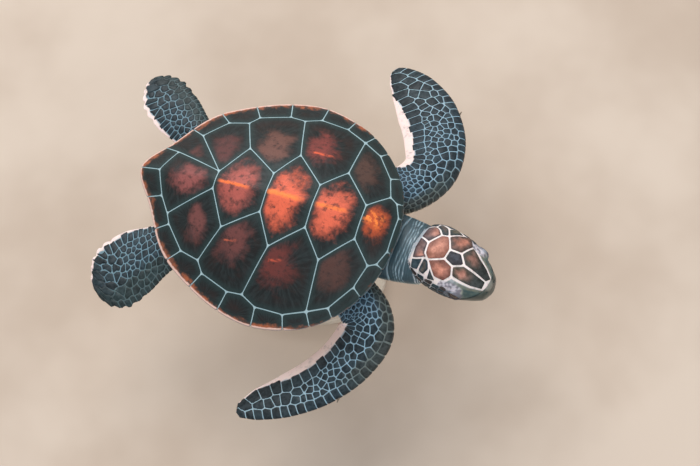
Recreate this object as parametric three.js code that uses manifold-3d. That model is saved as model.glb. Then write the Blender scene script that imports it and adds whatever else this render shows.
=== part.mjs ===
// A young green sea turtle as a still, life-size display model, swimming with its front flippers part way
// through the downstroke, on a flat base with two short rods. Millimetres, +Z up, +X towards the head.
// The turtle has its own frame: its origin is on the shell's rim plane, where the shell is widest.
import * as THREE from "three";
import { mergeVertices } from "three/addons/utils/BufferGeometryUtils.js";
import Module from "manifold-3d";

const wasm = await Module();
wasm.setup();

// ---------- driving dimensions ----------
const SHELL_FRONT = 67.2; // reach of the shell ahead of its widest station
const SHELL_REAR = 92.8; // and behind it: 160 long in all
const SHELL_HALF_WIDTH = 68;
const CROWN = 32; // height of the back above the rim plane
const FRONT_RIM_LIFT = 17.5; // the rim arches up over the neck
const REAR_RIM_LIFT = 9.5; // and a little over the tail
const PLATE = 2.6; // thickness of the carapace plates
const GAP = 0.3; // between pieces that touch
const BELLY = -25; // underside of the trunk
const TRUNK_SHARE = 0.94; // the trunk's reach as a share of the shell's
const PLASTRON = 2.2; // thickness of the belly plate

const RIDE_HEIGHT = 98; // rim plane above the floor
const TURTLE_X = 10; // puts the centre of mass over the stand

// ---------- solids ----------
// A geometry as a manifold solid, with its faces turned outwards.
function solidOf(geometry) {
  const bare = geometry.index ? geometry.toNonIndexed() : geometry.clone();
  bare.deleteAttribute("normal");
  bare.deleteAttribute("uv");
  const merged = mergeVertices(bare, 1e-4);
  const triangles = new Uint32Array(merged.index.array);
  const make = () =>
    new wasm.Manifold(
      new wasm.Mesh({ numProp: 3, vertProperties: merged.attributes.position.array, triVerts: triangles }),
    );
  let solid = make();
  if (solid.volume() < 0) {
    for (let i = 0; i < triangles.length; i += 3) {
      [triangles[i + 1], triangles[i + 2]] = [triangles[i + 2], triangles[i + 1]];
    }
    solid = make();
  }
  return solid;
}

// A manifold solid back as a geometry.
function geometryOf(solid) {
  const mesh = solid.getMesh();
  const positions = new Float32Array(mesh.numVert * 3);
  for (let i = 0; i < mesh.numVert; i++) {
    positions.set(mesh.vertProperties.subarray(i * mesh.numProp, i * mesh.numProp + 3), i * 3);
  }
  const geometry = new THREE.BufferGeometry();
  geometry.setAttribute("position", new THREE.BufferAttribute(positions, 3));
  geometry.setIndex(new THREE.BufferAttribute(mesh.triVerts, 1));
  return geometry;
}

// A closed skin with a pole at each end: a sphere whose rows and columns are put where place(row, angle) says.
function wrapped(around, rows, place) {
  const sphere = new THREE.SphereGeometry(1, around, rows);
  const position = sphere.getAttribute("position");
  for (let row = 0; row <= rows; row++) {
    for (let column = 0; column <= around; column++) {
      const angle = (2 * Math.PI * (column % around)) / around;
      const point = place(row, angle);
      position.setXYZ(row * (around + 1) + column, point.x, point.y, point.z);
    }
  }
  return solidOf(sphere);
}

// The largest piece of a solid, without the crumbs that a cut can leave.
function mainPiece(solid) {
  return solid.decompose().reduce((best, next) => (next.volume() > best.volume() ? next : best));
}

// ---------- the shell's shape ----------
const clamp01 = (value) => Math.min(1, Math.max(0, value));
const smooth = (value) => value * value * (3 - 2 * value);
const roundness = (front) => (front ? 2 : 1.6); // the rear is more pointed than an ellipse

// How far the rim reaches beyond a plain oval, by direction in degrees: broad behind the middle, then drawn in.
const RIM_REACH = [
  [0, 1],
  [40, 1],
  [70, 1.016],
  [105, 1.04],
  [128, 1.035],
  [162, 0.945],
  [180, 0.985],
];

// The same factor between the directions of the list. The direction is given by its two parts.
function rimReach(u, v) {
  const degrees = THREE.MathUtils.radToDeg(Math.atan2(Math.abs(v), u));
  const later = RIM_REACH.findIndex(([end]) => end > degrees);
  const next = later < 1 ? RIM_REACH.length - 1 : later;
  const [[start, low], [end, high]] = [RIM_REACH[next - 1], RIM_REACH[next]];
  return THREE.MathUtils.lerp(low, high, smooth(clamp01((degrees - start) / (end - start))));
}

// The point of the plan at a share of the way from the middle to the rim, in a direction given in degrees.
function planPoint(degrees, share) {
  const turn = THREE.MathUtils.degToRad(degrees);
  const [u, v] = [Math.cos(turn), Math.sin(turn)];
  const front = u >= 0;
  const n = roundness(front);
  const reach = (Math.abs(u) ** n + Math.abs(v) ** n) ** (1 / n) / rimReach(u, v);
  const x = (u / reach) * share * (front ? SHELL_FRONT : SHELL_REAR);
  return new THREE.Vector2(x, (v / reach) * share * SHELL_HALF_WIDTH);
}

// Height of the carapace over a point of the plan.
function domeHeight(x, y) {
  const front = x >= 0;
  const n = roundness(front);
  const u = Math.abs(x) / (front ? SHELL_FRONT : SHELL_REAR);
  const v = Math.abs(y) / SHELL_HALF_WIDTH;
  const oval = (u ** n + v ** n) ** (1 / n);
  const share = oval / rimReach(front ? u : -u, v);
  const along = oval > 0 ? u / oval : 0;
  const rim = front ? FRONT_RIM_LIFT * along ** 5 : REAR_RIM_LIFT * along ** 2;
  const fullness = 1.35 - (front ? 0.6 : 0.35) * along ** 2;
  const keel = 1.2 * Math.exp(-((y / 6) ** 2)) * clamp01(1 - share);
  return rim + (CROWN - rim) * clamp01(1 - share ** 2) ** fullness + keel;
}

const domePoint = (degrees, share, drop) => {
  const plan = planPoint(degrees, share);
  return new THREE.Vector3(plan.x, plan.y, domeHeight(plan.x, plan.y) - drop);
};

// Height of the trunk's underside: a flat belly that curves up to the rim.
function bellyHeight(degrees, share, spread = 0) {
  const edge = domePoint(degrees, TRUNK_SHARE, 0).z - PLATE - GAP - 1.5;
  const inward = smooth(clamp01((1 - share / TRUNK_SHARE) / 0.45));
  return THREE.MathUtils.lerp(edge, BELLY, inward) - spread;
}

const SHELL_RINGS = [0, 0.25, 0.47, 0.66, 0.82, TRUNK_SHARE, 1];
const SHELL_AROUND = 34;

// The layer that the carapace plates are cut from. spread makes it larger, to cut its neighbours with.
function carapaceLayer(spread = 0) {
  const rings = SHELL_RINGS.length;
  const wider = 1 + spread / SHELL_HALF_WIDTH;
  return wrapped(SHELL_AROUND, 2 * rings - 1, (row, angle) => {
    const under = row >= rings;
    const share = SHELL_RINGS[under ? 2 * rings - 1 - row : row];
    const point = domePoint(THREE.MathUtils.radToDeg(angle), share, under ? PLATE + spread : -spread);
    return new THREE.Vector3(point.x * wider, point.y * wider, point.z);
  });
}

const TRUNK_RINGS = SHELL_RINGS.filter((share) => share <= TRUNK_SHARE);

function trunkSolid(spread = 0) {
  const rings = TRUNK_RINGS.length;
  const wider = 1 + spread / SHELL_HALF_WIDTH;
  return wrapped(SHELL_AROUND, 2 * rings - 1, (row, angle) => {
    const degrees = THREE.MathUtils.radToDeg(angle);
    const under = row >= rings;
    const share = TRUNK_RINGS[under ? 2 * rings - 1 - row : row];
    const point = domePoint(degrees, share, PLATE + GAP - spread);
    if (under) point.z = bellyHeight(degrees, share, spread);
    return new THREE.Vector3(point.x * wider, point.y * wider, point.z);
  });
}

// Half outline of the belly plate: front lobe, bridge to the rim, rear lobe.
const PLASTRON_OUTLINE = [
  [46, 0],
  [43, 13],
  [33, 23],
  [24, 34],
  [17, 54],
  [-24, 50],
  [-31, 34],
  [-46, 23],
  [-62, 15],
  [-72, 0],
];
const PLASTRON_RINGS = [0, 0.4, 0.6, 0.76, 0.92];

function plastronSolid(spread = 0) {
  const rings = PLASTRON_RINGS.length;
  const layer = wrapped(24, 2 * rings - 1, (row, angle) => {
    const degrees = THREE.MathUtils.radToDeg(angle);
    const under = row >= rings;
    const share = PLASTRON_RINGS[under ? 2 * rings - 1 - row : row];
    const plan = planPoint(degrees, share);
    const belly = bellyHeight(degrees, share);
    return new THREE.Vector3(plan.x, plan.y, under ? belly - GAP - PLASTRON - spread : belly + PLASTRON);
  });
  const half = PLASTRON_OUTLINE.map(([x, y]) => new THREE.Vector2(x, y));
  const other = half.slice(1, -1).reverse();
  const outline = [...half, ...other.map((point) => new THREE.Vector2(point.x, -point.y))];
  return layer.intersect(prism(grown(outline, spread)));
}

// ---------- plates of the carapace ----------
// A polygon moved outwards by a distance, or inwards by a negative one.
function grown(points, distance) {
  const turn = Math.sign(THREE.ShapeUtils.area(points));
  return points.map((point, i) => {
    const before = points[(i + points.length - 1) % points.length];
    const after = points[(i + 1) % points.length];
    const arriving = point.clone().sub(before).normalize();
    const leaving = after.clone().sub(point).normalize();
    const outA = new THREE.Vector2(arriving.y, -arriving.x).multiplyScalar(turn);
    const outB = new THREE.Vector2(leaving.y, -leaving.x).multiplyScalar(turn);
    const mitre = outA.clone().add(outB).normalize();
    return point.clone().addScaledVector(mitre, distance / Math.max(0.4, mitre.dot(outA)));
  });
}

const PRISM_DEPTH = 160;

function prism(points) {
  const block = new THREE.ExtrudeGeometry(new THREE.Shape(points), { depth: PRISM_DEPTH, bevelEnabled: false });
  return solidOf(block.translate(0, 0, -PRISM_DEPTH / 2));
}

// Seams across the row of vertebral plates, from the front, as [x, half width], and the points between them.
const CROSS_SEAMS = [
  [45.4, 10.3],
  [17.5, 13.1],
  [-9.7, 11.9],
  [-41, 5.3],
];
const SIDE_POINTS = [
  [29.2, 27.1],
  [0.2, 28.5],
  [-29.6, 24.9],
];
// Outer ends of the seams between the costal plates, and the front corner of the first one.
const COSTAL_ENDS = [
  [29.2, 53.4],
  [-8.4, 55.4],
  [-39, 44.1],
];
const FIRST_CORNER = [56, 21.2];
const LAST_CORNER = [-65.4, 23]; // where the last costal plate, the last vertebral one and the rim meet
// Seams between marginal plates: direction at the rim in degrees, and how far out each one starts.
const RIM_SEAMS = [
  [9, 0.965],
  [17, 0.94],
  [33, 0.912],
  [49.5, 0.922],
  [61, 0.889],
  [74, 0.885],
  [89.5, 0.85],
  [103, 0.837],
  [117, 0.853],
  [132, 0.863],
  [148, 0.875],
  [165, 0.876],
];
const TAIL_SHARE = 0.853; // inner edge of the last marginal plates on the midline
const PAST_RIM = 1.08;

const vec = ([x, y], side = 1) => new THREE.Vector2(x, y * side);
const rimStart = (seam, side) => planPoint(side * RIM_SEAMS[seam][0], RIM_SEAMS[seam][1]);
const rimEnd = (seam, side) => planPoint(side * RIM_SEAMS[seam][0], PAST_RIM);
const rimStarts = (from, to, side) => {
  const found = [];
  for (let seam = from; seam <= to; seam++) found.push(rimStart(seam, side));
  return found;
};

const plateOutlines = new Map();

// The vertebral row, from the front: 1 borders the nuchal plate, 5 the tail.
function vertebralOutlines() {
  const cross = (i, side) => vec(CROSS_SEAMS[i], side);
  plateOutlines.set("vertebral_1", [
    cross(0, 1),
    vec(FIRST_CORNER, 1),
    rimStart(1, 1),
    rimStart(0, 1),
    rimStart(0, -1),
    rimStart(1, -1),
    vec(FIRST_CORNER, -1),
    cross(0, -1),
  ]);
  for (let i = 0; i < 3; i++) {
    plateOutlines.set(`vertebral_${i + 2}`, [
      cross(i, 1),
      cross(i, -1),
      vec(SIDE_POINTS[i], -1),
      cross(i + 1, -1),
      cross(i + 1, 1),
      vec(SIDE_POINTS[i], 1),
    ]);
  }
  plateOutlines.set("vertebral_5", [
    cross(3, 1),
    cross(3, -1),
    vec(LAST_CORNER, -1),
    rimStart(11, -1),
    planPoint(180, TAIL_SHARE),
    rimStart(11, 1),
  ]);
}

// The costal plates of one side. The left has a fifth, small one that runs out to the edge of the shell.
function costalOutlines(name, side) {
  const cross = (i) => vec(CROSS_SEAMS[i], side);
  const point = (i) => vec(SIDE_POINTS[i], side);
  const end = (i) => vec(COSTAL_ENDS[i], side);
  const rim = (from, to) => rimStarts(from, to, side).reverse();
  const plate = (number, outline) => plateOutlines.set(`costal_${name}_${number}`, outline);
  plate(1, [cross(0), point(0), end(0), ...rim(2, 3), vec(FIRST_CORNER, side)]);
  plate(2, [point(0), cross(1), point(1), end(1), ...rim(5, 6), end(0)]);
  plate(3, [point(1), cross(2), point(2), end(2), ...rim(7, 8), end(1)]);
  if (side > 0) {
    const edge = planPoint((RIM_SEAMS[10][0] + RIM_SEAMS[11][0]) / 2, PAST_RIM);
    plate(4, [point(2), cross(3), ...rim(9, 10), end(2)]);
    plate(5, [cross(3), rimStart(11, side), rimEnd(11, side), edge, rimEnd(10, side), rimStart(10, side)]);
  } else {
    plate(4, [point(2), cross(3), vec(LAST_CORNER, side), ...rim(9, 10), end(2)]);
  }
}

// The marginal plates of one side. The fifth costal plate of the left takes the place of its eleventh.
function marginalOutlines(name, side) {
  const corners = { 2: FIRST_CORNER, 7: COSTAL_ENDS[1], 9: COSTAL_ENDS[2], 11: LAST_CORNER };
  for (let seam = 0; seam < RIM_SEAMS.length; seam++) {
    const number = seam + 1;
    if (side > 0 && number === 11) continue;
    const last = number === RIM_SEAMS.length;
    const inner = last ? planPoint(180, TAIL_SHARE) : rimStart(number, side);
    const outer = last ? planPoint(180, PAST_RIM) : rimEnd(number, side);
    const [from, to] = [RIM_SEAMS[seam][0], last ? 180 : RIM_SEAMS[number][0]];
    const middle = planPoint((side * (from + to)) / 2, PAST_RIM);
    const between = corners[number] ? [vec(corners[number], side)] : [];
    const outline = [rimStart(seam, side), ...between, inner, outer, middle, rimEnd(seam, side)];
    plateOutlines.set(`marginal_${name}_${number}`, outline);
  }
}

vertebralOutlines();
costalOutlines("left", 1);
costalOutlines("right", -1);
marginalOutlines("left", 1);
marginalOutlines("right", -1);
const nuchalFront = [rimEnd(0, -1), planPoint(0, PAST_RIM), rimEnd(0, 1)];
plateOutlines.set("nuchal", [rimStart(0, 1), rimStart(0, -1), ...nuchalFront]);

// ---------- limbs, neck and tail ----------
// A limb is swept along its middle line. Each station has its place, the reach to the leading and the trailing
// edge, half its thickness, and a twist in degrees that lifts the leading edge. This gives its frame at t.
function limbFrame(side, stations) {
  const middle = new THREE.CatmullRomCurve3(
    stations.map((s) => new THREE.Vector3(s.at[0], s.at[1] * side, s.at[2])),
    false,
    "centripetal",
  );
  const widths = new THREE.CatmullRomCurve3(
    stations.map((s) => new THREE.Vector3(s.lead, s.trail, s.thick)),
    false,
    "centripetal",
  );
  const up = new THREE.Vector3(0, 0, 1);
  return (t) => {
    const centre = middle.getPoint(t);
    const tangent = middle.getTangent(t);
    const width = widths.getPoint(t);
    const place = t * (stations.length - 1);
    const before = Math.min(stations.length - 2, Math.floor(place));
    const twist = THREE.MathUtils.lerp(stations[before].twist, stations[before + 1].twist, place - before);
    const chord = new THREE.Vector3().crossVectors(tangent, up).multiplyScalar(side).normalize();
    const back = new THREE.Vector3().crossVectors(chord, tangent).multiplyScalar(side).normalize();
    const lean = THREE.MathUtils.degToRad(twist);
    const lead = chord.clone().multiplyScalar(Math.cos(lean)).addScaledVector(back, Math.sin(lean));
    const top = back.clone().multiplyScalar(Math.cos(lean)).addScaledVector(chord, -Math.sin(lean));
    return { centre, tangent, lead, top, width };
  };
}

function limbSolid(side, stations, around, rows, spread = 0) {
  const frameAt = limbFrame(side, stations);
  return wrapped(around, rows, (row, angle) => {
    const { centre, lead, top, width } = frameAt(row / rows);
    if (row === 0 || row === rows) return centre;
    const [c, s] = [Math.cos(angle), Math.sin(angle)];
    const reach = (c > 0 ? width.x : width.y) + spread;
    const thin = c > 0 ? 1 : 1 - 0.62 * Math.abs(c) ** 1.4;
    const thickness = (width.z * thin + spread) * Math.sign(s) * Math.abs(s) ** 0.8;
    return centre.addScaledVector(lead, reach * c).addScaledVector(top, thickness);
  });
}

const station = (at, lead, trail, thick, twist = 0) => ({ at, lead, trail, thick, twist });

const FRONT_LEFT = [
  station([36, 24, -6], 9, 9, 8, 0),
  station([48, 31, -7], 15.5, 14, 8.5, 0),
  station([61.5, 42, -9], 16.5, 15, 7.5, 0),
  station([67.5, 56, -13], 17.5, 16.5, 6, 0),
  station([63.5, 75, -20], 19.5, 18.5, 4.8, 0),
  station([52.5, 94.5, -28.5], 19, 18.5, 3.8, 0),
  station([37.5, 110.5, -36], 15, 14, 2.8, 0),
  station([27, 118.5, -40], 9, 8.5, 1.8, 0),
  station([21, 122, -42], 3.5, 3, 1, 0),
];
const FRONT_RIGHT = [
  station([36, 24, -6], 9, 9, 8, 0),
  station([48, 32, -7], 14, 14, 8.5, 4),
  station([61, 41, -8.5], 14, 17.5, 7.5, 8),
  station([64.5, 52, -11], 15.5, 20.5, 6, 12),
  station([58, 68, -17], 16.5, 20.5, 4.8, 16),
  station([45, 83.5, -24], 16, 19, 3.8, 18),
  station([28, 97, -30], 13.5, 16.5, 3, 18),
  station([12, 106.5, -34], 9.5, 11.5, 2.2, 16),
  station([1, 113, -36.5], 3.5, 4, 1.2, 14),
];
const REAR_LEFT = [
  station([-50, 18, -9], 8, 8, 6.5, 0),
  station([-62, 27, -8], 12, 12, 6.5, 0),
  station([-74, 35, -8], 12.5, 13, 4.8, 0),
  station([-87, 44, -9], 15, 16, 3.4, 0),
  station([-99, 52, -10], 16, 16, 2.4, 0),
  station([-108, 58.5, -11], 12, 11, 1.7, 0),
  station([-113, 62, -11.5], 4, 4, 1, 0),
];
const REAR_RIGHT = [
  station([-48, 20, -9], 8, 8, 6.5, 0),
  station([-58, 30, -8], 13, 13, 6.5, 0),
  station([-68, 41, -8], 15, 17.5, 4.8, 0),
  station([-77.5, 51, -9], 19.5, 22, 3.4, 0),
  station([-87, 61.5, -10], 22, 22, 2.4, 0),
  station([-94, 69, -11], 17, 16, 1.7, 0),
  station([-98, 73, -11.5], 6, 5, 1, 0),
];
const NECK = [
  station([38, 0, -2], 11, 11, 9, 0),
  station([50, 0, -2], 18, 18, 12.5, 0),
  station([62, -0.4, -1.5], 20, 20, 12.6, 0),
  station([74, -1, 0], 19, 19, 12.4, 0),
  station([86, -2, 2.5], 16.5, 16.5, 12, 0),
  station([92, -2.8, 3.5], 9, 9, 8, 0),
];
const TAIL = [
  station([-60, 0, -8], 7, 7, 6, 0),
  station([-72, 0, -6], 6.5, 6.5, 5, 0),
  station([-84, 0, -5], 4.5, 4.5, 3.6, 0),
  station([-92.7, 0, -5.5], 2.6, 2.6, 2.2, 0),
  station([-96.5, 0, -6], 1.2, 1.2, 1, 0),
];

// The claw on the leading edge of a front flipper: a short cone that leans towards the tip.
const CLAW_PLACE = 0.58; // along the limb
const CLAW_LENGTH = 6;
const CLAW_RADIUS = 1.5;
const CLAW_SUNK = 3.2; // how far its root starts behind the edge

function clawSolid(side, stations) {
  const { centre, tangent, lead, width } = limbFrame(side, stations)(CLAW_PLACE);
  const point = lead.clone().addScaledVector(tangent, 0.9).normalize();
  const turn = new THREE.Quaternion().setFromUnitVectors(new THREE.Vector3(0, 1, 0), point);
  const root = centre.addScaledVector(lead, width.x - CLAW_SUNK);
  const cone = new THREE.ConeGeometry(CLAW_RADIUS, CLAW_LENGTH, 8).translate(0, CLAW_LENGTH / 2, 0);
  return solidOf(cone.applyQuaternion(turn).translate(root.x, root.y, root.z));
}

// A round limb, for the neck and tail: an ellipse at each station.
function roundSolid(stations, around, rows, spread = 0) {
  const middle = new THREE.CatmullRomCurve3(stations.map((s) => new THREE.Vector3(...s.at)), false, "centripetal");
  const widths = new THREE.CatmullRomCurve3(stations.map((s) => new THREE.Vector3(s.lead, s.thick, 0)), false, "centripetal");
  return wrapped(around, rows, (row, angle) => {
    const t = row / rows;
    const centre = middle.getPoint(t);
    if (row === 0 || row === rows) return centre;
    const tangent = middle.getTangent(t);
    const sideways = new THREE.Vector3().crossVectors(new THREE.Vector3(0, 0, 1), tangent).normalize();
    const top = new THREE.Vector3().crossVectors(tangent, sideways);
    const width = widths.getPoint(t);
    return centre
      .addScaledVector(sideways, (width.x + spread) * Math.cos(angle))
      .addScaledVector(top, (width.y + spread) * Math.sin(angle));
  });
}

// ---------- head ----------
// Stations from the back of the skull to the tip of the beak: x, half width, crown, chin.
const HEAD_STATIONS = [
  [-25.5, 9, 6, -6],
  [-23, 13.8, 9.8, -9.5],
  [-17, 17.2, 12.4, -12],
  [-9, 18.4, 13.6, -13],
  [0, 18.2, 13.9, -13.2],
  [8, 16.6, 13.2, -12.8],
  [15, 13.6, 10.6, -11.8],
  [20.5, 10.4, 7.2, -10.6],
  [24, 7.4, 3.8, -8.6],
  [25.8, 4, 0.6, -6],
];
const HEAD_PLACE = new THREE.Vector3(101.2, -3.7, 5.5);
const HEAD_YAW = -15.5; // degrees, to the turtle's right
const HEAD_PITCH = 4; // degrees, nose down
const EYE_RADIUS = 4.9;
const EYE_PLACE = new THREE.Vector3(8.6, 12, 3.2);
const MOUTH_CORNER = new THREE.Vector3(6.4, 0, -5.2);
const UPPER_SHEATH_LEAN = 55; // degrees: the horn of the upper jaw rises from the corner of the mouth to the nostrils
const LOWER_SHEATH_LEAN = -40; // and that of the lower jaw falls to the chin

const headMatrix = new THREE.Matrix4()
  .makeTranslation(HEAD_PLACE)
  .multiply(new THREE.Matrix4().makeRotationZ(THREE.MathUtils.degToRad(HEAD_YAW)))
  .multiply(new THREE.Matrix4().makeRotationY(THREE.MathUtils.degToRad(HEAD_PITCH)));

function headSolid(around, rows, spread = 0) {
  const line = new THREE.CatmullRomCurve3(HEAD_STATIONS.map(([x, half]) => new THREE.Vector3(x, half, 0)), false, "centripetal");
  const heights = new THREE.CatmullRomCurve3(
    HEAD_STATIONS.map(([x, , crown, chin]) => new THREE.Vector3(x, crown, chin)),
    false,
    "centripetal",
  );
  return wrapped(around, rows, (row, angle) => {
    const t = row / rows;
    const { x, y: half } = line.getPoint(t);
    const { y: crown, z: chin } = heights.getPoint(t);
    const level = (crown + chin) / 2;
    const end = row === 0 ? -1 : 1;
    if (row === 0 || row === rows) {
      return new THREE.Vector3(x + end * (0.4 + spread), 0, level).applyMatrix4(headMatrix);
    }
    const [c, s] = [Math.cos(angle), Math.sin(angle)];
    const across = (half + spread) * Math.sign(c) * Math.abs(c) ** 0.9;
    const high = ((crown - chin) / 2 + spread) * Math.sign(s) * Math.abs(s) ** 0.88;
    return new THREE.Vector3(x, across, level + high).applyMatrix4(headMatrix);
  });
}

// All of the head on one side of a plane through the corner of the mouth. The lean is in degrees: 0 keeps what
// lies ahead, -90 what lies above and 90 what lies below. spread moves the plane back, to cut a neighbour with.
function headSide(lean, spread = 0) {
  const reach = 60;
  const block = new THREE.BoxGeometry(reach, reach, reach).translate(reach / 2 - spread, 0, 0);
  block.rotateY(THREE.MathUtils.degToRad(lean)).translate(MOUTH_CORNER.x, 0, MOUTH_CORNER.z);
  return solidOf(block.applyMatrix4(headMatrix));
}

function eyeBall(side, radius) {
  const ball = new THREE.SphereGeometry(radius, 14, 8).rotateX(Math.PI / 2);
  ball.translate(EYE_PLACE.x, EYE_PLACE.y * side, EYE_PLACE.z);
  return solidOf(ball.applyMatrix4(headMatrix));
}

// ---------- stand ----------
const BASE_THICKNESS = 8;
const BASE_LENGTH = 124;
const BASE_WIDTH = 80;
const BASE_BEVEL = 1;
const ROD_RADIUS = 3;
const ROD_STATIONS = { front: 28, rear: -28 };

function standBase() {
  const outline = new THREE.Shape();
  outline.absellipse(0, 0, BASE_LENGTH / 2 - BASE_BEVEL, BASE_WIDTH / 2 - BASE_BEVEL, 0, 2 * Math.PI);
  const base = new THREE.ExtrudeGeometry(outline, {
    depth: BASE_THICKNESS - 2 * BASE_BEVEL,
    bevelThickness: BASE_BEVEL,
    bevelSize: BASE_BEVEL,
    bevelSegments: 1,
    curveSegments: 16,
  });
  return base.translate(0, 0, BASE_BEVEL);
}

function standRod(x) {
  const top = RIDE_HEIGHT + BELLY - GAP - PLASTRON - GAP;
  const bottom = BASE_THICKNESS + GAP;
  const rod = new THREE.CylinderGeometry(ROD_RADIUS, ROD_RADIUS, top - bottom, 14).rotateX(Math.PI / 2);
  return rod.translate(x, 0, (top + bottom) / 2);
}

// ---------- materials ----------
const material = (color, roughness, metalness = 0) => new THREE.MeshStandardMaterial({ color, roughness, metalness });
const shellMaterial = material(0x2e3434, 0.4);
const plateGlow = material(0x8a4a34, 0.4);
const skinMaterial = material(0x3c5563, 0.55);
const headMaterial = material(0x8a6a60, 0.5);
const bellyMaterial = material(0xe6dcc4, 0.5);
const beakMaterial = material(0x4a4a38, 0.35);
const eyeMaterial = material(0x0c0c0e, 0.08);
const clawMaterial = material(0x6a5f4a, 0.4);
const baseMaterial = material(0xcfc4b4, 0.6);
const steelMaterial = material(0xb8babc, 0.3, 1);

// ---------- assembly ----------
const turtle = new THREE.Group();
turtle.position.set(TURTLE_X, 0, RIDE_HEIGHT);

function add(parent, name, geometry, finish) {
  const mesh = new THREE.Mesh(geometry, finish);
  mesh.name = name;
  parent.add(mesh);
}
const addSolid = (name, solid, finish) => add(turtle, name, geometryOf(mainPiece(solid)), finish);

const layer = carapaceLayer();
for (const [name, outline] of plateOutlines) {
  const glows = name.startsWith("vertebral") || name.startsWith("costal");
  addSolid(name, layer.intersect(prism(grown(outline, -GAP / 2 - 0.05))), glows ? plateGlow : shellMaterial);
}

const trunk = trunkSolid();
addSolid("trunk", trunk, skinMaterial);
addSolid("plastron", plastronSolid().subtract(trunkSolid(GAP)).subtract(carapaceLayer(GAP)), bellyMaterial);
const shellSpace = trunkSolid(GAP).add(carapaceLayer(GAP)).add(plastronSolid(GAP));

const neckSpace = roundSolid(NECK, 18, 9, GAP);
const headSpace = headSolid(18, 13, GAP);
addSolid("neck", roundSolid(NECK, 18, 9).subtract(headSpace).subtract(shellSpace), skinMaterial);
addSolid("tail", roundSolid(TAIL, 12, 7).subtract(shellSpace), skinMaterial);

// The head, with the horny beak parted above and below the mouth, and a socket for each eye.
const wholeHead = headSolid(18, 13);
const [UP, DOWN] = [-90, 90];
const upperJaw = (spread) => headSide(UP, spread).intersect(headSide(UPPER_SHEATH_LEAN, spread));
const lowerJaw = (spread) => headSide(DOWN, spread - GAP).intersect(headSide(LOWER_SHEATH_LEAN, spread));
const beakUpper = wholeHead.intersect(upperJaw(0));
const beakLower = wholeHead.intersect(lowerJaw(0));
let skull = wholeHead.subtract(upperJaw(GAP)).subtract(lowerJaw(GAP));
for (const side of [1, -1]) skull = skull.subtract(eyeBall(side, EYE_RADIUS + GAP));
addSolid("head", skull, headMaterial);
addSolid("beak_upper", beakUpper, beakMaterial);
addSolid("beak_lower", beakLower, beakMaterial);
addSolid("eye_left", eyeBall(1, EYE_RADIUS), eyeMaterial);
addSolid("eye_right", eyeBall(-1, EYE_RADIUS), eyeMaterial);

// A limb is parted across its middle line: the near part and the far part, with a gap between them.
function parted(solid, side, stations, at) {
  const [before, after] = [stations[at - 1].at, stations[at + 1].at];
  const normal = new THREE.Vector3(after[0] - before[0], (after[1] - before[1]) * side, after[2] - before[2]).normalize();
  const [x, y, z] = stations[at].at;
  const offset = normal.dot(new THREE.Vector3(x, y * side, z));
  const far = solid.trimByPlane(normal.toArray(), offset + GAP / 2);
  const near = solid.trimByPlane(normal.clone().negate().toArray(), -offset + GAP / 2);
  return [near, far];
}

const limbs = [
  ["front", "left", 1, FRONT_LEFT, 3],
  ["front", "right", -1, FRONT_RIGHT, 3],
  ["rear", "left", 1, REAR_LEFT, 2],
  ["rear", "right", -1, REAR_RIGHT, 2],
];
for (const [end, name, side, stations, at] of limbs) {
  const whole = limbSolid(side, stations, 14, end === "front" ? 16 : 12);
  const free = whole.subtract(shellSpace).subtract(neckSpace);
  const [near, far] = parted(free, side, stations, at);
  if (end === "front") {
    const space = limbSolid(side, stations, 14, 16, GAP);
    addSolid(`claw_${name}`, clawSolid(side, stations).subtract(space), clawMaterial);
  }
  addSolid(`${end}_${end === "front" ? "arm" : "thigh"}_${name}`, near, skinMaterial);
  addSolid(`${end}_flipper_${name}`, far, skinMaterial);
}

const root = new THREE.Group();
root.add(turtle);
add(root, "stand_base", standBase(), baseMaterial);
for (const [name, x] of Object.entries(ROD_STATIONS)) add(root, `stand_rod_${name}`, standRod(x), steelMaterial);

export default root;
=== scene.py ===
"""A young green sea turtle on a plain stand: one skin with scales, horn plates, beak, eyes and claws."""

import math
import random
from bisect import bisect_right

import bmesh
import bpy
from mathutils import Matrix, Vector, noise
from mathutils.kdtree import KDTree


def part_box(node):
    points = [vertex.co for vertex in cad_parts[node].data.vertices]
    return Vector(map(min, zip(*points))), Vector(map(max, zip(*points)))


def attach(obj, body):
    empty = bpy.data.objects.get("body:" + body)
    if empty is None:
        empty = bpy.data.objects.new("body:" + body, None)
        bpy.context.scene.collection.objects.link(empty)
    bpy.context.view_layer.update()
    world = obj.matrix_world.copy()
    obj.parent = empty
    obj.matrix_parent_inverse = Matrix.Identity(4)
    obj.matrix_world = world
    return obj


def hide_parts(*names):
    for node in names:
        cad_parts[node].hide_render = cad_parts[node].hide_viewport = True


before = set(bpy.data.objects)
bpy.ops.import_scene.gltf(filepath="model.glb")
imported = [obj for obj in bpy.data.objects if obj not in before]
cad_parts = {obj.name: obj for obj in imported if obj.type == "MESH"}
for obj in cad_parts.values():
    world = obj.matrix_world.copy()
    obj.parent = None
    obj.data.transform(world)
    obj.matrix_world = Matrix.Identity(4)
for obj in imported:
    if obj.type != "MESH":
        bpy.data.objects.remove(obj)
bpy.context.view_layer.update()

bl_info = {
    "name": "Sea Turtle Display Model",
    "version": (1, 0, 0),
    "blender": (4, 5, 0),
    "location": "View3D > Sidebar > Turtle",
    "description": "Skin, scales and shell of a young green sea turtle, around its packed frame",
    "category": "Add Mesh",
}

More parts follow.
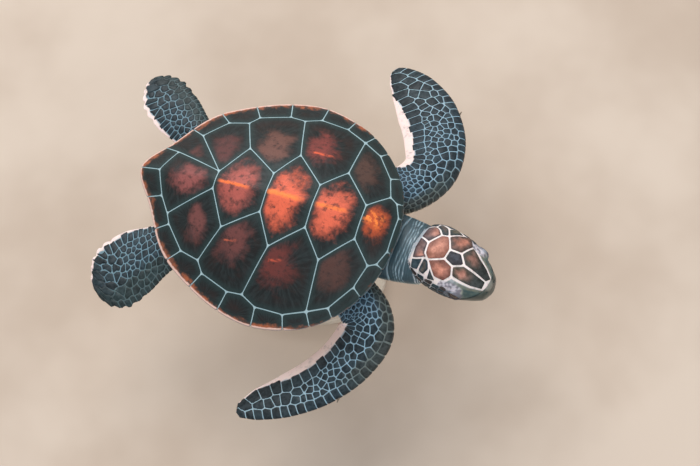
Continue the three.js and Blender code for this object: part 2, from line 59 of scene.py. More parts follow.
# ---------- sizes, in millimetres, in the turtle's own frame ----------
MM = 0.001
TURTLE_X = 10  # the shell's widest station, ahead of the stand's centre
RIDE_HEIGHT = 98  # rim plane of the shell above the floor
SHELL_FRONT, SHELL_REAR, SHELL_HALF_WIDTH = 67.2, 92.8, 68
OVAL_FRONT, OVAL_REAR = 2, 1.6  # the exponents that round the plan ahead of the middle and behind it
CROWN, FRONT_RIM_LIFT, REAR_RIM_LIFT = 32, 17.5, 9.5
KEEL_HEIGHT, KEEL_WIDTH = 1.2, 6
PLATE, GAP = 2.6, 0.3  # thickness of the shell's horn, and the room between it and the trunk
RIM_PLATE = 1.7  # thickness of the horn well inside the rim
BELLY, PLASTRON = -25, 2.2  # height of the belly, and thickness of its plates
FLANK = 1.5  # how far the trunk's edge lies under the horn
TRUNK_SHARE = 0.94
BED_SHARE = 0.99
SCALE_HEIGHT = 0.28  # how far a scale stands over the skin
SCALE_ROOT = 0.25  # how far it reaches under the skin
SCALE_DEPTH = 0.4  # how far the skin lies inside the solids, which the scales then reach
EDGE_DEPTH = 0.66  # the same along a limb's edges
THICKNESS_SHARE = 0.9  # of a limb's thickness that is skin

UV_MAP = "OFBake"
UNWRAP_STEP = 0.0008  # how far a millimetre of a scale reaches in the unwrap
FRONT_LIMB_ROWS, REAR_LIMB_ROWS, LIMB_COLUMNS = 130, 80, 72


def placed(point):
    """A point of the turtle's frame in millimetres as a point of the row's frame in metres."""
    return Vector((point[0] + TURTLE_X, point[1], point[2] + RIDE_HEIGHT)) * MM


def clamp(value, low=0.0, high=1.0):
    return min(high, max(low, value))


def smooth(value):
    value = clamp(value)
    return value * value * (3 - 2 * value)


def mix(a, b, share):
    return a + (b - a) * share


def rounded_off(inside, radius):
    """How far a rounded edge drops at a distance inside it, as a share of its radius."""
    return 1 - math.sqrt(max(0, 1 - (1 - clamp(inside / radius)) ** 2))


def row_before(values, value):
    """The number of the last of some rising values that isn't above a value, and never the very last."""
    return max(0, min(len(values) - 1, bisect_right(values, value)) - 1)


def srgb(red, green, blue):
    """A display colour, 0 to 255 in each channel, as linear light."""
    def linear(channel):
        share = channel / 255
        return share / 12.92 if share <= 0.04045 else ((share + 0.055) / 1.055) ** 2.4

    return Vector((linear(red), linear(green), linear(blue)))


SMALL_STEP = 1e-4  # of a curve's length, to find its direction


def spline(points, t):
    """A centripetal Catmull-Rom curve through the points, at a share t of the way."""
    last = len(points) - 1
    place = clamp(t) * last
    start = min(last - 1, int(place))
    weight = place - start
    p1, p2 = points[start], points[start + 1]
    p0 = points[start - 1] if start > 0 else 2 * p1 - p2
    p3 = points[start + 2] if start + 2 <= last else 2 * p2 - p1
    d0, d1, d2 = (max(1e-4, (b - a).length) ** 0.5 for a, b in ((p0, p1), (p1, p2), (p2, p3)))
    m1 = ((p1 - p0) / d0 - (p2 - p0) / (d0 + d1) + (p2 - p1) / d1) * d1
    m2 = ((p2 - p1) / d1 - (p3 - p1) / (d1 + d2) + (p3 - p2) / d2) * d1
    w2, w3 = weight * weight, weight ** 3
    return p1 * (2 * w3 - 3 * w2 + 1) + m1 * (w3 - 2 * w2 + weight) + p2 * (3 * w2 - 2 * w3) + m2 * (w3 - w2)


def direction(points, t):
    """Which way a curve through the points runs, at a share t of the way."""
    return (spline(points, min(1, t + SMALL_STEP)) - spline(points, max(0, t - SMALL_STEP))).normalized()


# ---------- the shell's shape ----------
# How far the rim reaches past a plain oval, by direction in degrees: broad behind the middle, then drawn in.
RIM_REACH = [(0, 1), (40, 1), (70, 1.016), (105, 1.04), (128, 1.035), (162, 0.945), (180, 0.985)]


def rim_reach(degrees):
    turn = abs(degrees)
    reach = 1
    for (start, low), (end, high) in zip(RIM_REACH, RIM_REACH[1:]):
        if start <= turn <= end:
            reach = mix(low, high, smooth((turn - start) / (end - start)))
    return reach


def plan_point(degrees, share):
    """A point of the plan, in a direction from the shell's middle and at a share of the way to its rim."""
    turn = math.radians(degrees)
    share = share * rim_reach(math.degrees(math.atan2(math.sin(turn), math.cos(turn))))
    u, v = math.cos(turn), math.sin(turn)
    n = OVAL_FRONT if u >= 0 else OVAL_REAR
    reach = (abs(u) ** n + abs(v) ** n) ** (1 / n)
    length = SHELL_FRONT if u >= 0 else SHELL_REAR
    return Vector((u / reach * share * length, v / reach * share * SHELL_HALF_WIDTH, 0))


def plan_share(x, y):
    """How far out a point of the plan lies, and how far towards an end: both 0 to 1."""
    front = x >= 0
    n = OVAL_FRONT if front else OVAL_REAR
    u = abs(x) / (SHELL_FRONT if front else SHELL_REAR)
    v = abs(y) / SHELL_HALF_WIDTH
    share = (u ** n + v ** n) ** (1 / n)
    degrees = math.degrees(math.atan2(v, u if front else -u))
    return share / rim_reach(degrees), (u / share if share > 0 else 0)


def dome_height(x, y):
    share, along = plan_share(x, y)
    front = x >= 0
    rim = FRONT_RIM_LIFT * along ** 5 if front else REAR_RIM_LIFT * along ** 2
    fullness = 1.35 - (0.6 if front else 0.35) * along ** 2
    keel = KEEL_HEIGHT * math.exp(-((y / KEEL_WIDTH) ** 2)) * clamp(1 - share)
    return rim + (CROWN - rim) * clamp(1 - share ** 2) ** fullness + keel


def belly_height(x, y):
    share = plan_share(x, y)[0]
    out = TRUNK_SHARE / max(share, 1e-3)
    edge = dome_height(x * out, y * out) - PLATE - GAP - FLANK
    return mix(edge, BELLY, smooth((1 - share / TRUNK_SHARE) / 0.45))


# ---------- limbs ----------
class Limb:
    """A flipper, swept along its middle line. Each station has a place, the reach to the leading and the
    trailing edge, half a thickness, and a twist in degrees that lifts the leading edge."""

    STEPS = 120
    TURNS = 32
    TIP = 0.994  # share of the middle line that the skin reaches, so that scales stay in the solid's box

    def __init__(self, side, stations, notches=0):
        self.side = side
        self.notches = notches
        self.middle = [Vector((x, y * side, z)) for x, y, z, *_ in stations]
        self.widths = [Vector(station[3:6]) for station in stations]
        self.twists = [station[6] for station in stations]
        self.frames = [self._frame(i / self.STEPS) for i in range(self.STEPS + 1)]
        self.run = [0.0]
        for a, b in zip(self.frames, self.frames[1:]):
            self.run.append(self.run[-1] + (b[0] - a[0]).length)
        self.length = self.run[-1]
        self.turns = [self._turns(i / self.STEPS) for i in range(self.STEPS + 1)]

    def _frame(self, t):
        """The centre of a section, its directions to the leading edge and up, and its sizes."""
        centre = spline(self.middle, t)
        tangent = direction(self.middle, t)
        chord = tangent.cross(Vector((0, 0, 1))).normalized() * self.side
        back = chord.cross(tangent).normalized() * self.side
        place = t * (len(self.twists) - 1)
        start = min(len(self.twists) - 2, int(place))
        lean = math.radians(mix(self.twists[start], self.twists[start + 1], place - start))
        lead = chord * math.cos(lean) + back * math.sin(lean)
        top = back * math.cos(lean) - chord * math.sin(lean)
        return centre, lead, top, spline(self.widths, t)

    def frame(self, t):
        place = clamp(t) * self.STEPS * self.TIP
        start = min(self.STEPS - 1, int(place))
        a, b = self.frames[start], self.frames[start + 1]
        return [mix(p, q, place - start) for p, q in zip(a, b)]

    def point(self, t, turn, lift=0.0):
        """A point of the skin: turn is 0 on the leading edge, pi/2 on top and pi on the trailing edge."""
        centre, lead, top, width = self.frame(t)
        c, s = math.cos(turn), math.sin(turn)
        ends = smooth(min(t, 1 - t) / 0.02)
        reach = ((width.x if c > 0 else width.y) - EDGE_DEPTH) * ends + lift
        if self.notches:
            wave = 0.5 - 0.5 * math.cos(2 * math.pi * self.notches * (t - 0.03 * c))
            reach -= 1.5 * wave ** 2 * smooth((t - 0.5) / 0.15) * abs(c) ** 3
        thin = 1 if c > 0 else 1 - 0.62 * abs(c) ** 1.4
        thickness = width.z * thin * THICKNESS_SHARE * ends + lift
        return centre + lead * (reach * c) + top * (math.copysign(abs(s) ** 0.8, s) * thickness)

    def _turns(self, t):
        """Lengths along the upper half of a section, from the leading edge to the trailing one."""
        points = [self.point(t, math.pi * i / self.TURNS) for i in range(self.TURNS + 1)]
        run = [0.0]
        for a, b in zip(points, points[1:]):
            run.append(run[-1] + (b - a).length)
        return run

    def half_girth(self, along):
        return self.turns[round(self.share(along) * self.STEPS)][-1]

    def share(self, along):
        """The share of the way for a length along the middle line."""
        along = clamp(along, 0, self.length)
        row = row_before(self.run, along)
        return (row + (along - self.run[row]) / max(1e-6, self.run[row + 1] - self.run[row])) / self.STEPS

    def spot(self, along, around):
        """The share of the way and the turn of a spot of the flat layout, where around is measured from the
        leading edge, above zero on top."""
        t = self.share(along)
        run = self.turns[round(t * self.STEPS)]
        distance = clamp(abs(around), 0, run[-1] * 0.995)
        step = 1
        while step < self.TURNS and run[step] < distance:
            step += 1
        part = (distance - run[step - 1]) / max(1e-6, run[step] - run[step - 1])
        return t, math.copysign(math.pi * (step - 1 + part) / self.TURNS, around)

    def wrapped(self, along, around, lift):
        """A place over the flat layout, lifted from the skin."""
        return self.point(*self.spot(along, around), lift)


FRONT_LEFT = Limb(1, [
    (36, 24, -6, 9, 9, 8, 0),
    (48, 31, -7, 15.5, 14, 8.5, 0),
    (61.5, 42, -9, 16.5, 15, 7.5, 0),
    (67.5, 56, -13, 17.5, 16.5, 6, 0),
    (63.5, 75, -20, 19.5, 18.5, 4.8, 0),
    (52.5, 94.5, -28.5, 19, 18.5, 3.8, 0),
    (37.5, 110.5, -36, 15, 14, 2.8, 0),
    (27, 118.5, -40, 9, 8.5, 1.8, 0),
    (21, 122, -42, 3.5, 3, 1, 0),
])
FRONT_RIGHT = Limb(-1, [
    (36, 24, -6, 9, 9, 8, 0),
    (48, 32, -7, 14, 14, 8.5, 4),
    (61, 41, -8.5, 14, 17.5, 7.5, 8),
    (64.5, 52, -11, 15.5, 20.5, 6, 12),
    (58, 68, -17, 16.5, 20.5, 4.8, 16),
    (45, 83.5, -24, 16, 19, 3.8, 18),
    (28, 97, -30, 13.5, 16.5, 3, 18),
    (12, 106.5, -34, 9.5, 11.5, 2.2, 16),
    (1, 113, -36.5, 3.5, 4, 1.2, 14),
])
REAR_LEFT = Limb(1, [
    (-50, 18, -9, 8, 8, 6.5, 0),
    (-62, 27, -8, 12, 12, 6.5, 0),
    (-74, 35, -8, 12.5, 13, 4.8, 0),
    (-87, 44, -9, 15, 16, 3.4, 0),
    (-99, 52, -10, 16, 16, 2.4, 0),
    (-108, 58.5, -11, 12, 11, 1.7, 0),
    (-113, 62, -11.5, 4, 4, 1, 0),
], notches=12)
REAR_RIGHT = Limb(-1, [
    (-48, 20, -9, 8, 8, 6.5, 0),
    (-58, 30, -8, 13, 13, 6.5, 0),
    (-68, 41, -8, 15, 17.5, 4.8, 0),
    (-77.5, 51, -9, 19.5, 22, 3.4, 0),
    (-87, 61.5, -10, 22, 22, 2.4, 0),
    (-94, 69, -11, 17, 16, 1.7, 0),
    (-98, 73, -11.5, 6, 5, 1, 0),
], notches=12)
LIMBS = {
    "front_left": FRONT_LEFT,
    "front_right": FRONT_RIGHT,
    "rear_left": REAR_LEFT,
    "rear_right": REAR_RIGHT,
}

# ---------- neck and tail ----------
NECK = [
    (38, 0, -2, 11, 9),
    (50, 0, -2, 18, 12.5),
    (62, -0.4, -1.5, 20, 12.6),
    (74, -1, 0, 19, 12.4),
    (86, -2, 2.5, 16.5, 12),
    (92, -2.8, 3.5, 9, 8),
]
TAIL = [
    (-60, 0, -8, 7, 6),
    (-72, 0, -6, 6.5, 5),
    (-84, 0, -5, 4.5, 3.6),
    (-90.3, 0, -5.5, 2.6, 2.2),
    (-93.5, 0, -6, 1.2, 1),
]


def round_point(stations, t, turn, lift=0.0):
    """A point on a neck or tail of elliptic sections: turn is 0 on its left and pi/2 on top."""
    middle = [Vector(station[:3]) for station in stations]
    centre = spline(middle, t)
    if t in (0, 1):
        return centre
    tangent = direction(middle, t)
    sideways = Vector((0, 0, 1)).cross(tangent).normalized()
    top = tangent.cross(sideways)
    width = spline([Vector((station[3], station[4], 0)) for station in stations], t)
    return centre + sideways * ((width.x + lift) * math.cos(turn)) + top * ((width.y + lift) * math.sin(turn))


# ---------- head ----------
HEAD_STATIONS = [
    (-25.5, 9, 6, -6),
    (-23, 13.8, 9.8, -9.5),
    (-17, 17.2, 12.4, -12),
    (-9, 18.4, 13.6, -13),
    (0, 18.2, 13.9, -13.2),
    (8, 16.6, 13.2, -12.8),
    (15, 12.9, 10.6, -11.8),
    (20.5, 9.4, 7.2, -10.6),
    (24, 6.5, 3.8, -8.6),
    (25.8, 4, 0.6, -6),
]
HEAD_PLACE, HEAD_YAW, HEAD_PITCH = (101.2, -3.7, 5.5), math.radians(-15.5), math.radians(4)
HEAD_TURN = Matrix.Rotation(HEAD_YAW, 4, "Z") @ Matrix.Rotation(HEAD_PITCH, 4, "Y")
HEAD_MATRIX = Matrix.Translation(HEAD_PLACE) @ HEAD_TURN
HEAD_STEPS = 200
SNOUT_START, SNOUT_LENGTH = 23, 2.8
EYE_RADIUS = 4.9
EYE_PLACE = Vector((8.6, 11.6, 3.2))
MOUTH_CORNER = Vector((6.4, 0, -5.2))
UPPER_SHEATH_LEAN, LOWER_SHEATH_LEAN = 55, -40


def head_table():
    """Closely spaced sections of the head, which ends in a blunt snout: place, half width, crown and chin."""
    for step in range(HEAD_STEPS + 1):
        line = spline([Vector((x, half, 0)) for x, half, *_ in HEAD_STATIONS], step / HEAD_STEPS)
        heights = spline([Vector((x, crown, chin)) for x, _, crown, chin in HEAD_STATIONS], step / HEAD_STEPS)
        blunt = math.sqrt(1 - (0.97 * clamp((line.x - SNOUT_START) / SNOUT_LENGTH)) ** 2)
        high, middle = (heights.y - heights.z) / 2 * blunt, (heights.y + heights.z) / 2
        yield line.x, line.y * blunt, middle + high, middle - high


HEAD_TABLE = list(head_table())
HEAD_PLACES = [place for place, *_ in HEAD_TABLE]


def head_section(x):
    """Half width, crown and chin of the head at a length along it."""
    row = row_before(HEAD_PLACES, x)
    a, b = HEAD_TABLE[row:row + 2]
    share = clamp((x - a[0]) / max(1e-6, b[0] - a[0]))
    return [mix(p, q, share) for p, q in zip(a[1:], b[1:])]


def head_point(x, turn, lift=0.0):
    """A point of the head in its own frame: turn is in degrees from the crown, above zero to its left."""
    half, crown, chin = head_section(x)
    c, s = math.sin(math.radians(turn)), math.cos(math.radians(turn))
    across = (half + lift) * math.copysign(abs(c) ** 0.9, c)
    high = ((crown - chin) / 2 + lift) * math.copysign(abs(s) ** 0.88, s)
    return Vector((x, across, (crown + chin) / 2 + high))


def sheath_way(lean):
    turn = math.radians(lean)
    return Vector((math.cos(turn), 0, -math.sin(turn)))


def ahead_of_sheath(point, lean):
    """How far a point lies ahead of a horn sheath's edge, in millimetres."""
    return (point - MOUTH_CORNER).dot(sheath_way(lean))


def in_beak(point):
    """How far inside the horn of the beak a point of the head lies, in millimetres."""
    upper = point.z > MOUTH_CORNER.z
    return ahead_of_sheath(point, UPPER_SHEATH_LEAN if upper else LOWER_SHEATH_LEAN)


# ---------- meshes ----------
def everything(bm):
    return bm.verts[:] + bm.edges[:] + bm.faces[:]


def outward(bm):
    """Turns the faces of a closed mesh outwards, whatever moving its points did to them."""
    bm.normal_update()
    bmesh.ops.recalc_face_normals(bm, faces=bm.faces)


def turn_solids(bm):
    """Turns each separate solid whose faces still point inwards."""
    seen = set()
    for first in bm.faces:
        if first in seen:
            continue
        seen.add(first)
        solid = [first]
        for face in solid:
            for edge in face.edges:
                fresh = [other for other in edge.link_faces if other not in seen]
                seen.update(fresh)
                solid.extend(fresh)
        places = [face.calc_center_median() for face in solid]
        middle = sum(places, Vector()) / len(places)
        if sum(face.calc_area() * (at - middle).dot(face.normal) for face, at in zip(solid, places)) < 0:
            bmesh.ops.reverse_faces(bm, faces=solid)


def cut(bm, place, normal, dist=0.0, keep=False):
    """Cuts a mesh by a plane, and drops what lies on the normal's side of it unless that is kept."""
    bmesh.ops.bisect_plane(
        bm, geom=everything(bm), plane_co=place, plane_no=normal, dist=dist, clear_outer=not keep,
    )


def filled(bm):
    bmesh.ops.holes_fill(bm, edges=[edge for edge in bm.edges if edge.is_boundary], sides=0)


def round_corners(bm, verts, offset, segments):
    bmesh.ops.bevel(
        bm, geom=verts, offset=offset, offset_type="OFFSET", segments=segments, profile=0.5,
        affect="VERTICES", material=-1, clamp_overlap=True,
    )


def turned_to_mesh(name, bm):
    """The mesh of a bmesh, which is freed."""
    mesh = bpy.data.meshes.new(name)
    bm.to_mesh(mesh)
    bm.free()
    return mesh


def added(name, data):
    """A new object of the scene."""
    thing = bpy.data.objects.new(name, data)
    bpy.context.scene.collection.objects.link(thing)
    return thing


def add_to(whole, part):
    """Joins one bmesh to another, and frees it."""
    mesh = turned_to_mesh("part", part)
    whole.from_mesh(mesh)
    bpy.data.meshes.remove(mesh)


def add_cell(whole, part, number):
    """Joins a scale to the others, with its number on its faces."""
    layer = part.faces.layers.int.new("cell")
    for face in part.faces:
        face[layer] = number
    add_to(whole, part)


def tree_of(points):
    tree = KDTree(max(1, len(points)))
    for i, point in enumerate(points):
        tree.insert(point, i)
    tree.balance()
    return tree


def finished(name, bm, material, nodes=()):
    """Makes a smooth piece that rides on the body, in place of the nodes it stands for."""
    mesh = turned_to_mesh(name, bm)
    mesh.shade_smooth()
    mesh.materials.append(material)
    piece = added(name, mesh)
    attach(piece, "root")
    if nodes:
        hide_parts(*nodes)
    return piece


def wrapped_ball(columns, rows, place, patch=None):
    """A closed skin from a ball. Its place gives a point for a share of the way between the poles and a turn,
    and its patch is the part of the unwrap that it takes up."""
    bm = bmesh.new()
    uv = bm.loops.layers.uv.new(UV_MAP)
    bmesh.ops.create_uvsphere(bm, u_segments=columns, v_segments=rows, radius=1, calc_uvs=True)
    for vert in bm.verts:
        share = math.acos(clamp(vert.co.z, -1, 1)) / math.pi
        vert.co = place(share, math.atan2(vert.co.y, vert.co.x))
    if patch:
        x0, y0, x1, y1 = patch
        for face in bm.faces:
            for loop in face.loops:
                spot = loop[uv].uv
                loop[uv].uv = (mix(x0, x1, clamp(spot.x)), mix(y0, y1, clamp(spot.y)))
    outward(bm)
    return bm


def sides_of(outline):
    return zip(outline, outline[1:] + outline[:1])


def way_along(a, b, point):
    """The way from a towards b, as far as the spot that is nearest to a point."""
    along = b - a
    return along * clamp((point - a).dot(along) / max(1e-9, along.length_squared))


def edge_distance(point, outline):
    return min((point - a - way_along(a, b, point)).length for a, b in sides_of(outline))


def drawn_in(bm, width, rise):
    """Draws the largest face in towards its middle and lifts it. Its corners can't cross this way."""
    face = max(bm.faces, key=lambda each: each.calc_area())
    bmesh.ops.inset_individual(bm, faces=[face], thickness=0, depth=rise, use_even_offset=False)
    middle = face.calc_center_median_weighted()
    size = max(0.4, 1 - width / edge_distance(middle, [vert.co for vert in face.verts]))
    bmesh.ops.scale(bm, vec=(size, size, 1), space=Matrix.Translation(-middle), verts=face.verts[:])


def tile(outline, gap, corner, rings, step):
    """A flat solid tile drawn in by a gap: z is 0 on its underside and 1 on its face. The outline's sharp
    corners are rounded, narrow rings run along its edge, and a square grid divides the rest."""
    bm = bmesh.new()
    face = bm.faces.new([bm.verts.new((x, y, 0)) for x, y, *_ in outline])
    face.normal_update()
    if face.normal.z < 0:
        face.normal_flip()
    ring = bmesh.ops.inset_individual(bm, faces=bm.faces[:], thickness=gap, use_even_offset=True)
    bmesh.ops.delete(bm, geom=ring["faces"], context="FACES")
    bmesh.ops.delete(bm, geom=[vert for vert in bm.verts if not vert.link_faces], context="VERTS")
    sharp = []
    for vert in bm.verts:
        a, b = ((edge.other_vert(vert).co - vert.co).normalized() for edge in vert.link_edges[:2])
        if a.dot(b) > -0.93:
            sharp.append(vert)
    if sharp:
        round_corners(bm, sharp, corner, 3)
    rim = [vert.co.copy() for vert in bm.faces[:][0].verts]
    for width in rings:
        drawn_in(bm, width, 0)
    for axis in (0, 1):
        normal = Vector((1 - axis, axis, 0))
        spans = [vert.co[axis] for vert in bm.verts]
        count = max(1, round((max(spans) - min(spans)) / step))
        for i in range(1, count):
            cut(bm, normal * mix(min(spans), max(spans), i / count), normal, 1e-3, keep=True)
    top = bmesh.ops.extrude_face_region(bm, geom=bm.faces[:])
    for item in top["geom"]:
        if isinstance(item, bmesh.types.BMVert):
            item.co.z = 1
    outward(bm)
    return bm, rim


NEIGHBOURS = 15  # that may cut a cell
SMALLEST_CELL = 0.25  # in square millimetres


def cells(seeds, sizes, shown, seam, reach=1.7):
    """Polygons round the seeds, each as far apart from its neighbours as the seam is wide. A seed's size is
    half its cell's usual width. Yields the number of each shown seed and its flat face."""
    tree = tree_of(seeds)
    for i, seed in enumerate(seeds):
        if not shown[i]:
            continue
        radius = sizes[i] * reach
        bm = bmesh.new()
        place = Matrix.Translation(seed)
        bmesh.ops.create_circle(bm, cap_ends=True, radius=radius, segments=12, matrix=place)
        for other, j, distance in tree.find_n(seed, NEIGHBOURS):
            if j == i or distance < 1e-4:
                continue
            split = (distance ** 2 + sizes[i] ** 2 - sizes[j] ** 2) / (2 * distance) - seam / 2
            if split < radius:
                away = (other - seed) / distance
                cut(bm, seed + away * split, away)
        if len(bm.faces) == 1 and bm.faces[:][0].calc_area() > SMALLEST_CELL:
            yield i, bm
        else:
            bm.free()


def pillow(bm, shoulder, step):
    """Turns one flat cell into a low scale that reaches from under the skin to a height over it, divided
    finely enough to follow a curved surface: step is along and across, in millimetres."""
    top = bm.faces[:][0]
    if top.normal.z < 0:
        top.normal_flip()
    for vert in bm.verts:
        vert.co.z = -SCALE_ROOT
    round_corners(bm, bm.verts[:], shoulder * 1.3, 2)
    drawn_in(bm, 0.04, SCALE_ROOT + 0.5 * SCALE_HEIGHT)
    drawn_in(bm, shoulder, 0.5 * SCALE_HEIGHT)
    for axis in (0, 1):
        normal = Vector((1 - axis, axis, 0))
        spans = [vert.co[axis] for vert in bm.verts]
        for i in range(math.ceil(min(spans) / step[axis]), math.ceil(max(spans) / step[axis])):
            cut(bm, normal * (i * step[axis]), normal, 0.02, keep=True)


# ---------- materials ----------
class Paint:
    """Builds one Principled material node by node. Sockets and plain numbers may be mixed as inputs."""

    def __init__(self, name, **values):
        self.material = bpy.data.materials.new(name)
        self.material.use_nodes = True
        self.tree = self.material.node_tree
        self.shader = self.tree.nodes["Principled BSDF"]
        for socket, value in values.items():
            self.shader.inputs[socket.replace("_", " ")].default_value = value
        self.coordinates = self.tree.nodes.new("ShaderNodeTexCoord").outputs["Object"]

    def node(self, kind, settings=None, **inputs):
        node = self.tree.nodes.new(kind)
        for key, value in (settings or {}).items():
            setattr(node, key, value)
        for key, value in inputs.items():
            self.feed(node.inputs[key.replace("_", " ")], value)
        return node

    def feed(self, socket, value):
        if isinstance(value, bpy.types.NodeSocket):
            self.tree.links.new(value, socket)
        elif isinstance(value, Vector) and socket.type == "RGBA":
            socket.default_value = (*value, 1)
        else:
            socket.default_value = value

    def attribute(self, name, output="Fac"):
        return self.node("ShaderNodeAttribute", {"attribute_name": name}).outputs[output]

    def noise(self, scale, detail=3.0, rough=0.55, vector=None):
        return self.node(
            "ShaderNodeTexNoise", Vector=self.coordinates if vector is None else vector,
            Scale=scale, Detail=detail, Roughness=rough,
        ).outputs["Fac"]

    def cracks(self, scale):
        return self.node(
            "ShaderNodeTexVoronoi", {"feature": "DISTANCE_TO_EDGE"}, Vector=self.coordinates, Scale=scale,
        ).outputs["Distance"]

    def fed(self, kind, settings, *values):
        """A node of which the first inputs are fed in their order."""
        node = self.node(kind, settings)
        for socket, value in zip(node.inputs, values):
            self.feed(socket, value)
        return node

    def math(self, operation, *values):
        return self.fed("ShaderNodeMath", {"operation": operation}, *values).outputs[0]

    def sum(self, first, second):
        return self.math("ADD", first, second)

    def product(self, first, *others):
        for other in others:
            first = self.math("MULTIPLY", first, other)
        return first

    def sway(self, noise, reach):
        """A noise turned into a value that goes either way from zero."""
        return self.product(self.math("SUBTRACT", noise, 0.5), reach)

    def span(self, value, low, high, start=0.0, end=1.0):
        settings = {"interpolation_type": "SMOOTHSTEP"}
        return self.fed("ShaderNodeMapRange", settings, value, low, high, start, end).outputs[0]

    def parts(self, vector):
        return self.node("ShaderNodeSeparateXYZ", Vector=vector).outputs

    def on_places(self, operation, vector):
        """A sum on the object's own coordinates and a fixed vector."""
        return self.fed("ShaderNodeVectorMath", {"operation": operation}, self.coordinates, vector).outputs

    def blend(self, a, b, share):
        node = self.node("ShaderNodeMix", {"data_type": "RGBA"})
        colours = [socket for socket in node.inputs if socket.type == "RGBA"]
        self.feed(node.inputs[0], share)
        self.feed(colours[0], a)
        self.feed(colours[1], b)
        return [socket for socket in node.outputs if socket.type == "RGBA"][0]

    def colour(self, value):
        self.feed(self.shader.inputs["Base Color"], value)

    def roughness(self, value):
        self.feed(self.shader.inputs["Roughness"], value)

    def bump(self, height, distance, strength=1.0, onto=None):
        node = self.node("ShaderNodeBump", Height=height, Distance=distance, Strength=strength)
        if onto is not None:
            self.tree.links.new(onto, node.inputs["Normal"])
        self.tree.links.new(node.outputs[0], self.shader.inputs["Normal"])
        return node.outputs[0]


# ---------- plates of the shell ----------
CROSS_SEAMS = [(45.4, 10.3), (17.5, 13.1), (-9.7, 11.9), (-41, 5.3)]
SIDE_POINTS = [(29.2, 27.1), (0.2, 28.5), (-29.6, 24.9)]
COSTAL_ENDS = [(29.2, 53.4), (-8.4, 55.4), (-39, 44.1)]
FIRST_CORNER, LAST_CORNER = (56, 21.2), (-65.4, 23)
RIM_SEAMS = [
    (9, 0.965), (17, 0.94), (33, 0.912), (49.5, 0.922), (61, 0.889), (74, 0.885),
    (89.5, 0.85), (103, 0.837), (117, 0.853), (132, 0.863), (148, 0.875), (165, 0.876),
]
TAIL_SEAM = (180, 0.853)
SIDES = {"left": 1, "right": -1}


def across(points, side):
    """Points of the plan on one side of the middle line."""
    return [Vector((point[0], point[1] * side, 0)) for point in points]


def rim_starts(side):
    """Where each seam of the rim meets the plates inside it, from the front to the middle of the rear."""
    return across([plan_point(*seam) for seam in (*RIM_SEAMS, TAIL_SEAM)], side)


def rim_arc(start, end, side=1):
    """Points along the shell's edge, at most two degrees apart."""
    count = max(2, round(abs(end - start) / 2))
    return across([plan_point(mix(start, end, i / count), 1) for i in range(count + 1)], side)


def vertebral_outlines():
    start, other = rim_starts(1), rim_starts(-1)
    halves = [[CROSS_SEAMS[0], FIRST_CORNER, start[1], start[0]]]
    for i, corner in enumerate(SIDE_POINTS):
        halves.append([CROSS_SEAMS[i], corner, CROSS_SEAMS[i + 1]])
    for i, half in enumerate(halves):
        yield f"vertebral_{i + 1}", across(half, 1) + across(reversed(half), -1)
    left, right = across(CROSS_SEAMS[3:], 1), across([CROSS_SEAMS[3], LAST_CORNER], -1)
    yield "vertebral_5", [*left, *right, other[11], start[12], start[11]]


def costal_outlines(name):
    side = SIDES[name]
    start, cross = rim_starts(side), across(CROSS_SEAMS, side)
    sides, ends = across(SIDE_POINTS, side), across(COSTAL_ENDS, side)
    first, last = across([FIRST_CORNER, LAST_CORNER], side)
    outlines = [
        [cross[0], sides[0], ends[0], start[3], start[2], first],
        [sides[0], cross[1], sides[1], ends[1], start[6], start[5], ends[0]],
        [sides[1], cross[2], sides[2], ends[2], start[8], start[7], ends[1]],
    ]
    if name == "right":
        outlines.append([sides[2], cross[3], last, start[10], start[9], ends[2]])
    else:
        outlines.append([sides[2], cross[3], start[10], start[9], ends[2]])
        rim = rim_arc(RIM_SEAMS[10][0], RIM_SEAMS[11][0], side)
        outlines.append([cross[3], start[11], *reversed(rim), start[10]])
    for number, outline in enumerate(outlines, 1):
        yield f"costal_{name}_{number}", outline


def marginal_outlines(name):
    side = SIDES[name]
    start, seams = rim_starts(side), (*RIM_SEAMS, TAIL_SEAM)
    extra = {2: FIRST_CORNER, 7: COSTAL_ENDS[1], 9: COSTAL_ENDS[2], 11: LAST_CORNER}
    for number in range(1, 13):
        if name == "left" and number == 11:  # costal_left_5 reaches the rim there
            continue
        outline = [start[number - 1], *rim_arc(seams[number - 1][0], seams[number][0], side), start[number]]
        if number in extra:
            outline += across([extra[number]], side)
        yield f"marginal_{name}_{number}", outline


def nuchal_outline():
    start = RIM_SEAMS[0][0]
    return [rim_starts(1)[0], *rim_arc(start, -start), rim_starts(-1)[0]]


def rim_distance(x, y):
    """How far inside the shell's edge a point of the plan lies, about, in millimetres."""
    share = plan_share(x, y)[0]
    return (1 - share) * math.hypot(x, y) / max(share, 1e-3)


def shell_point(x, y, top, drop):
    """The face or the underside of the horn over a point of the plan, rounded off at the rim."""
    inside = rim_distance(x, y)
    high = dome_height(x, y)
    rounding = PLATE / 2 * rounded_off(inside, PLATE / 2)
    if top:
        return high - max(drop, rounding)
    return high - mix(PLATE, RIM_PLATE, smooth((inside - 6) / 4)) + rounding


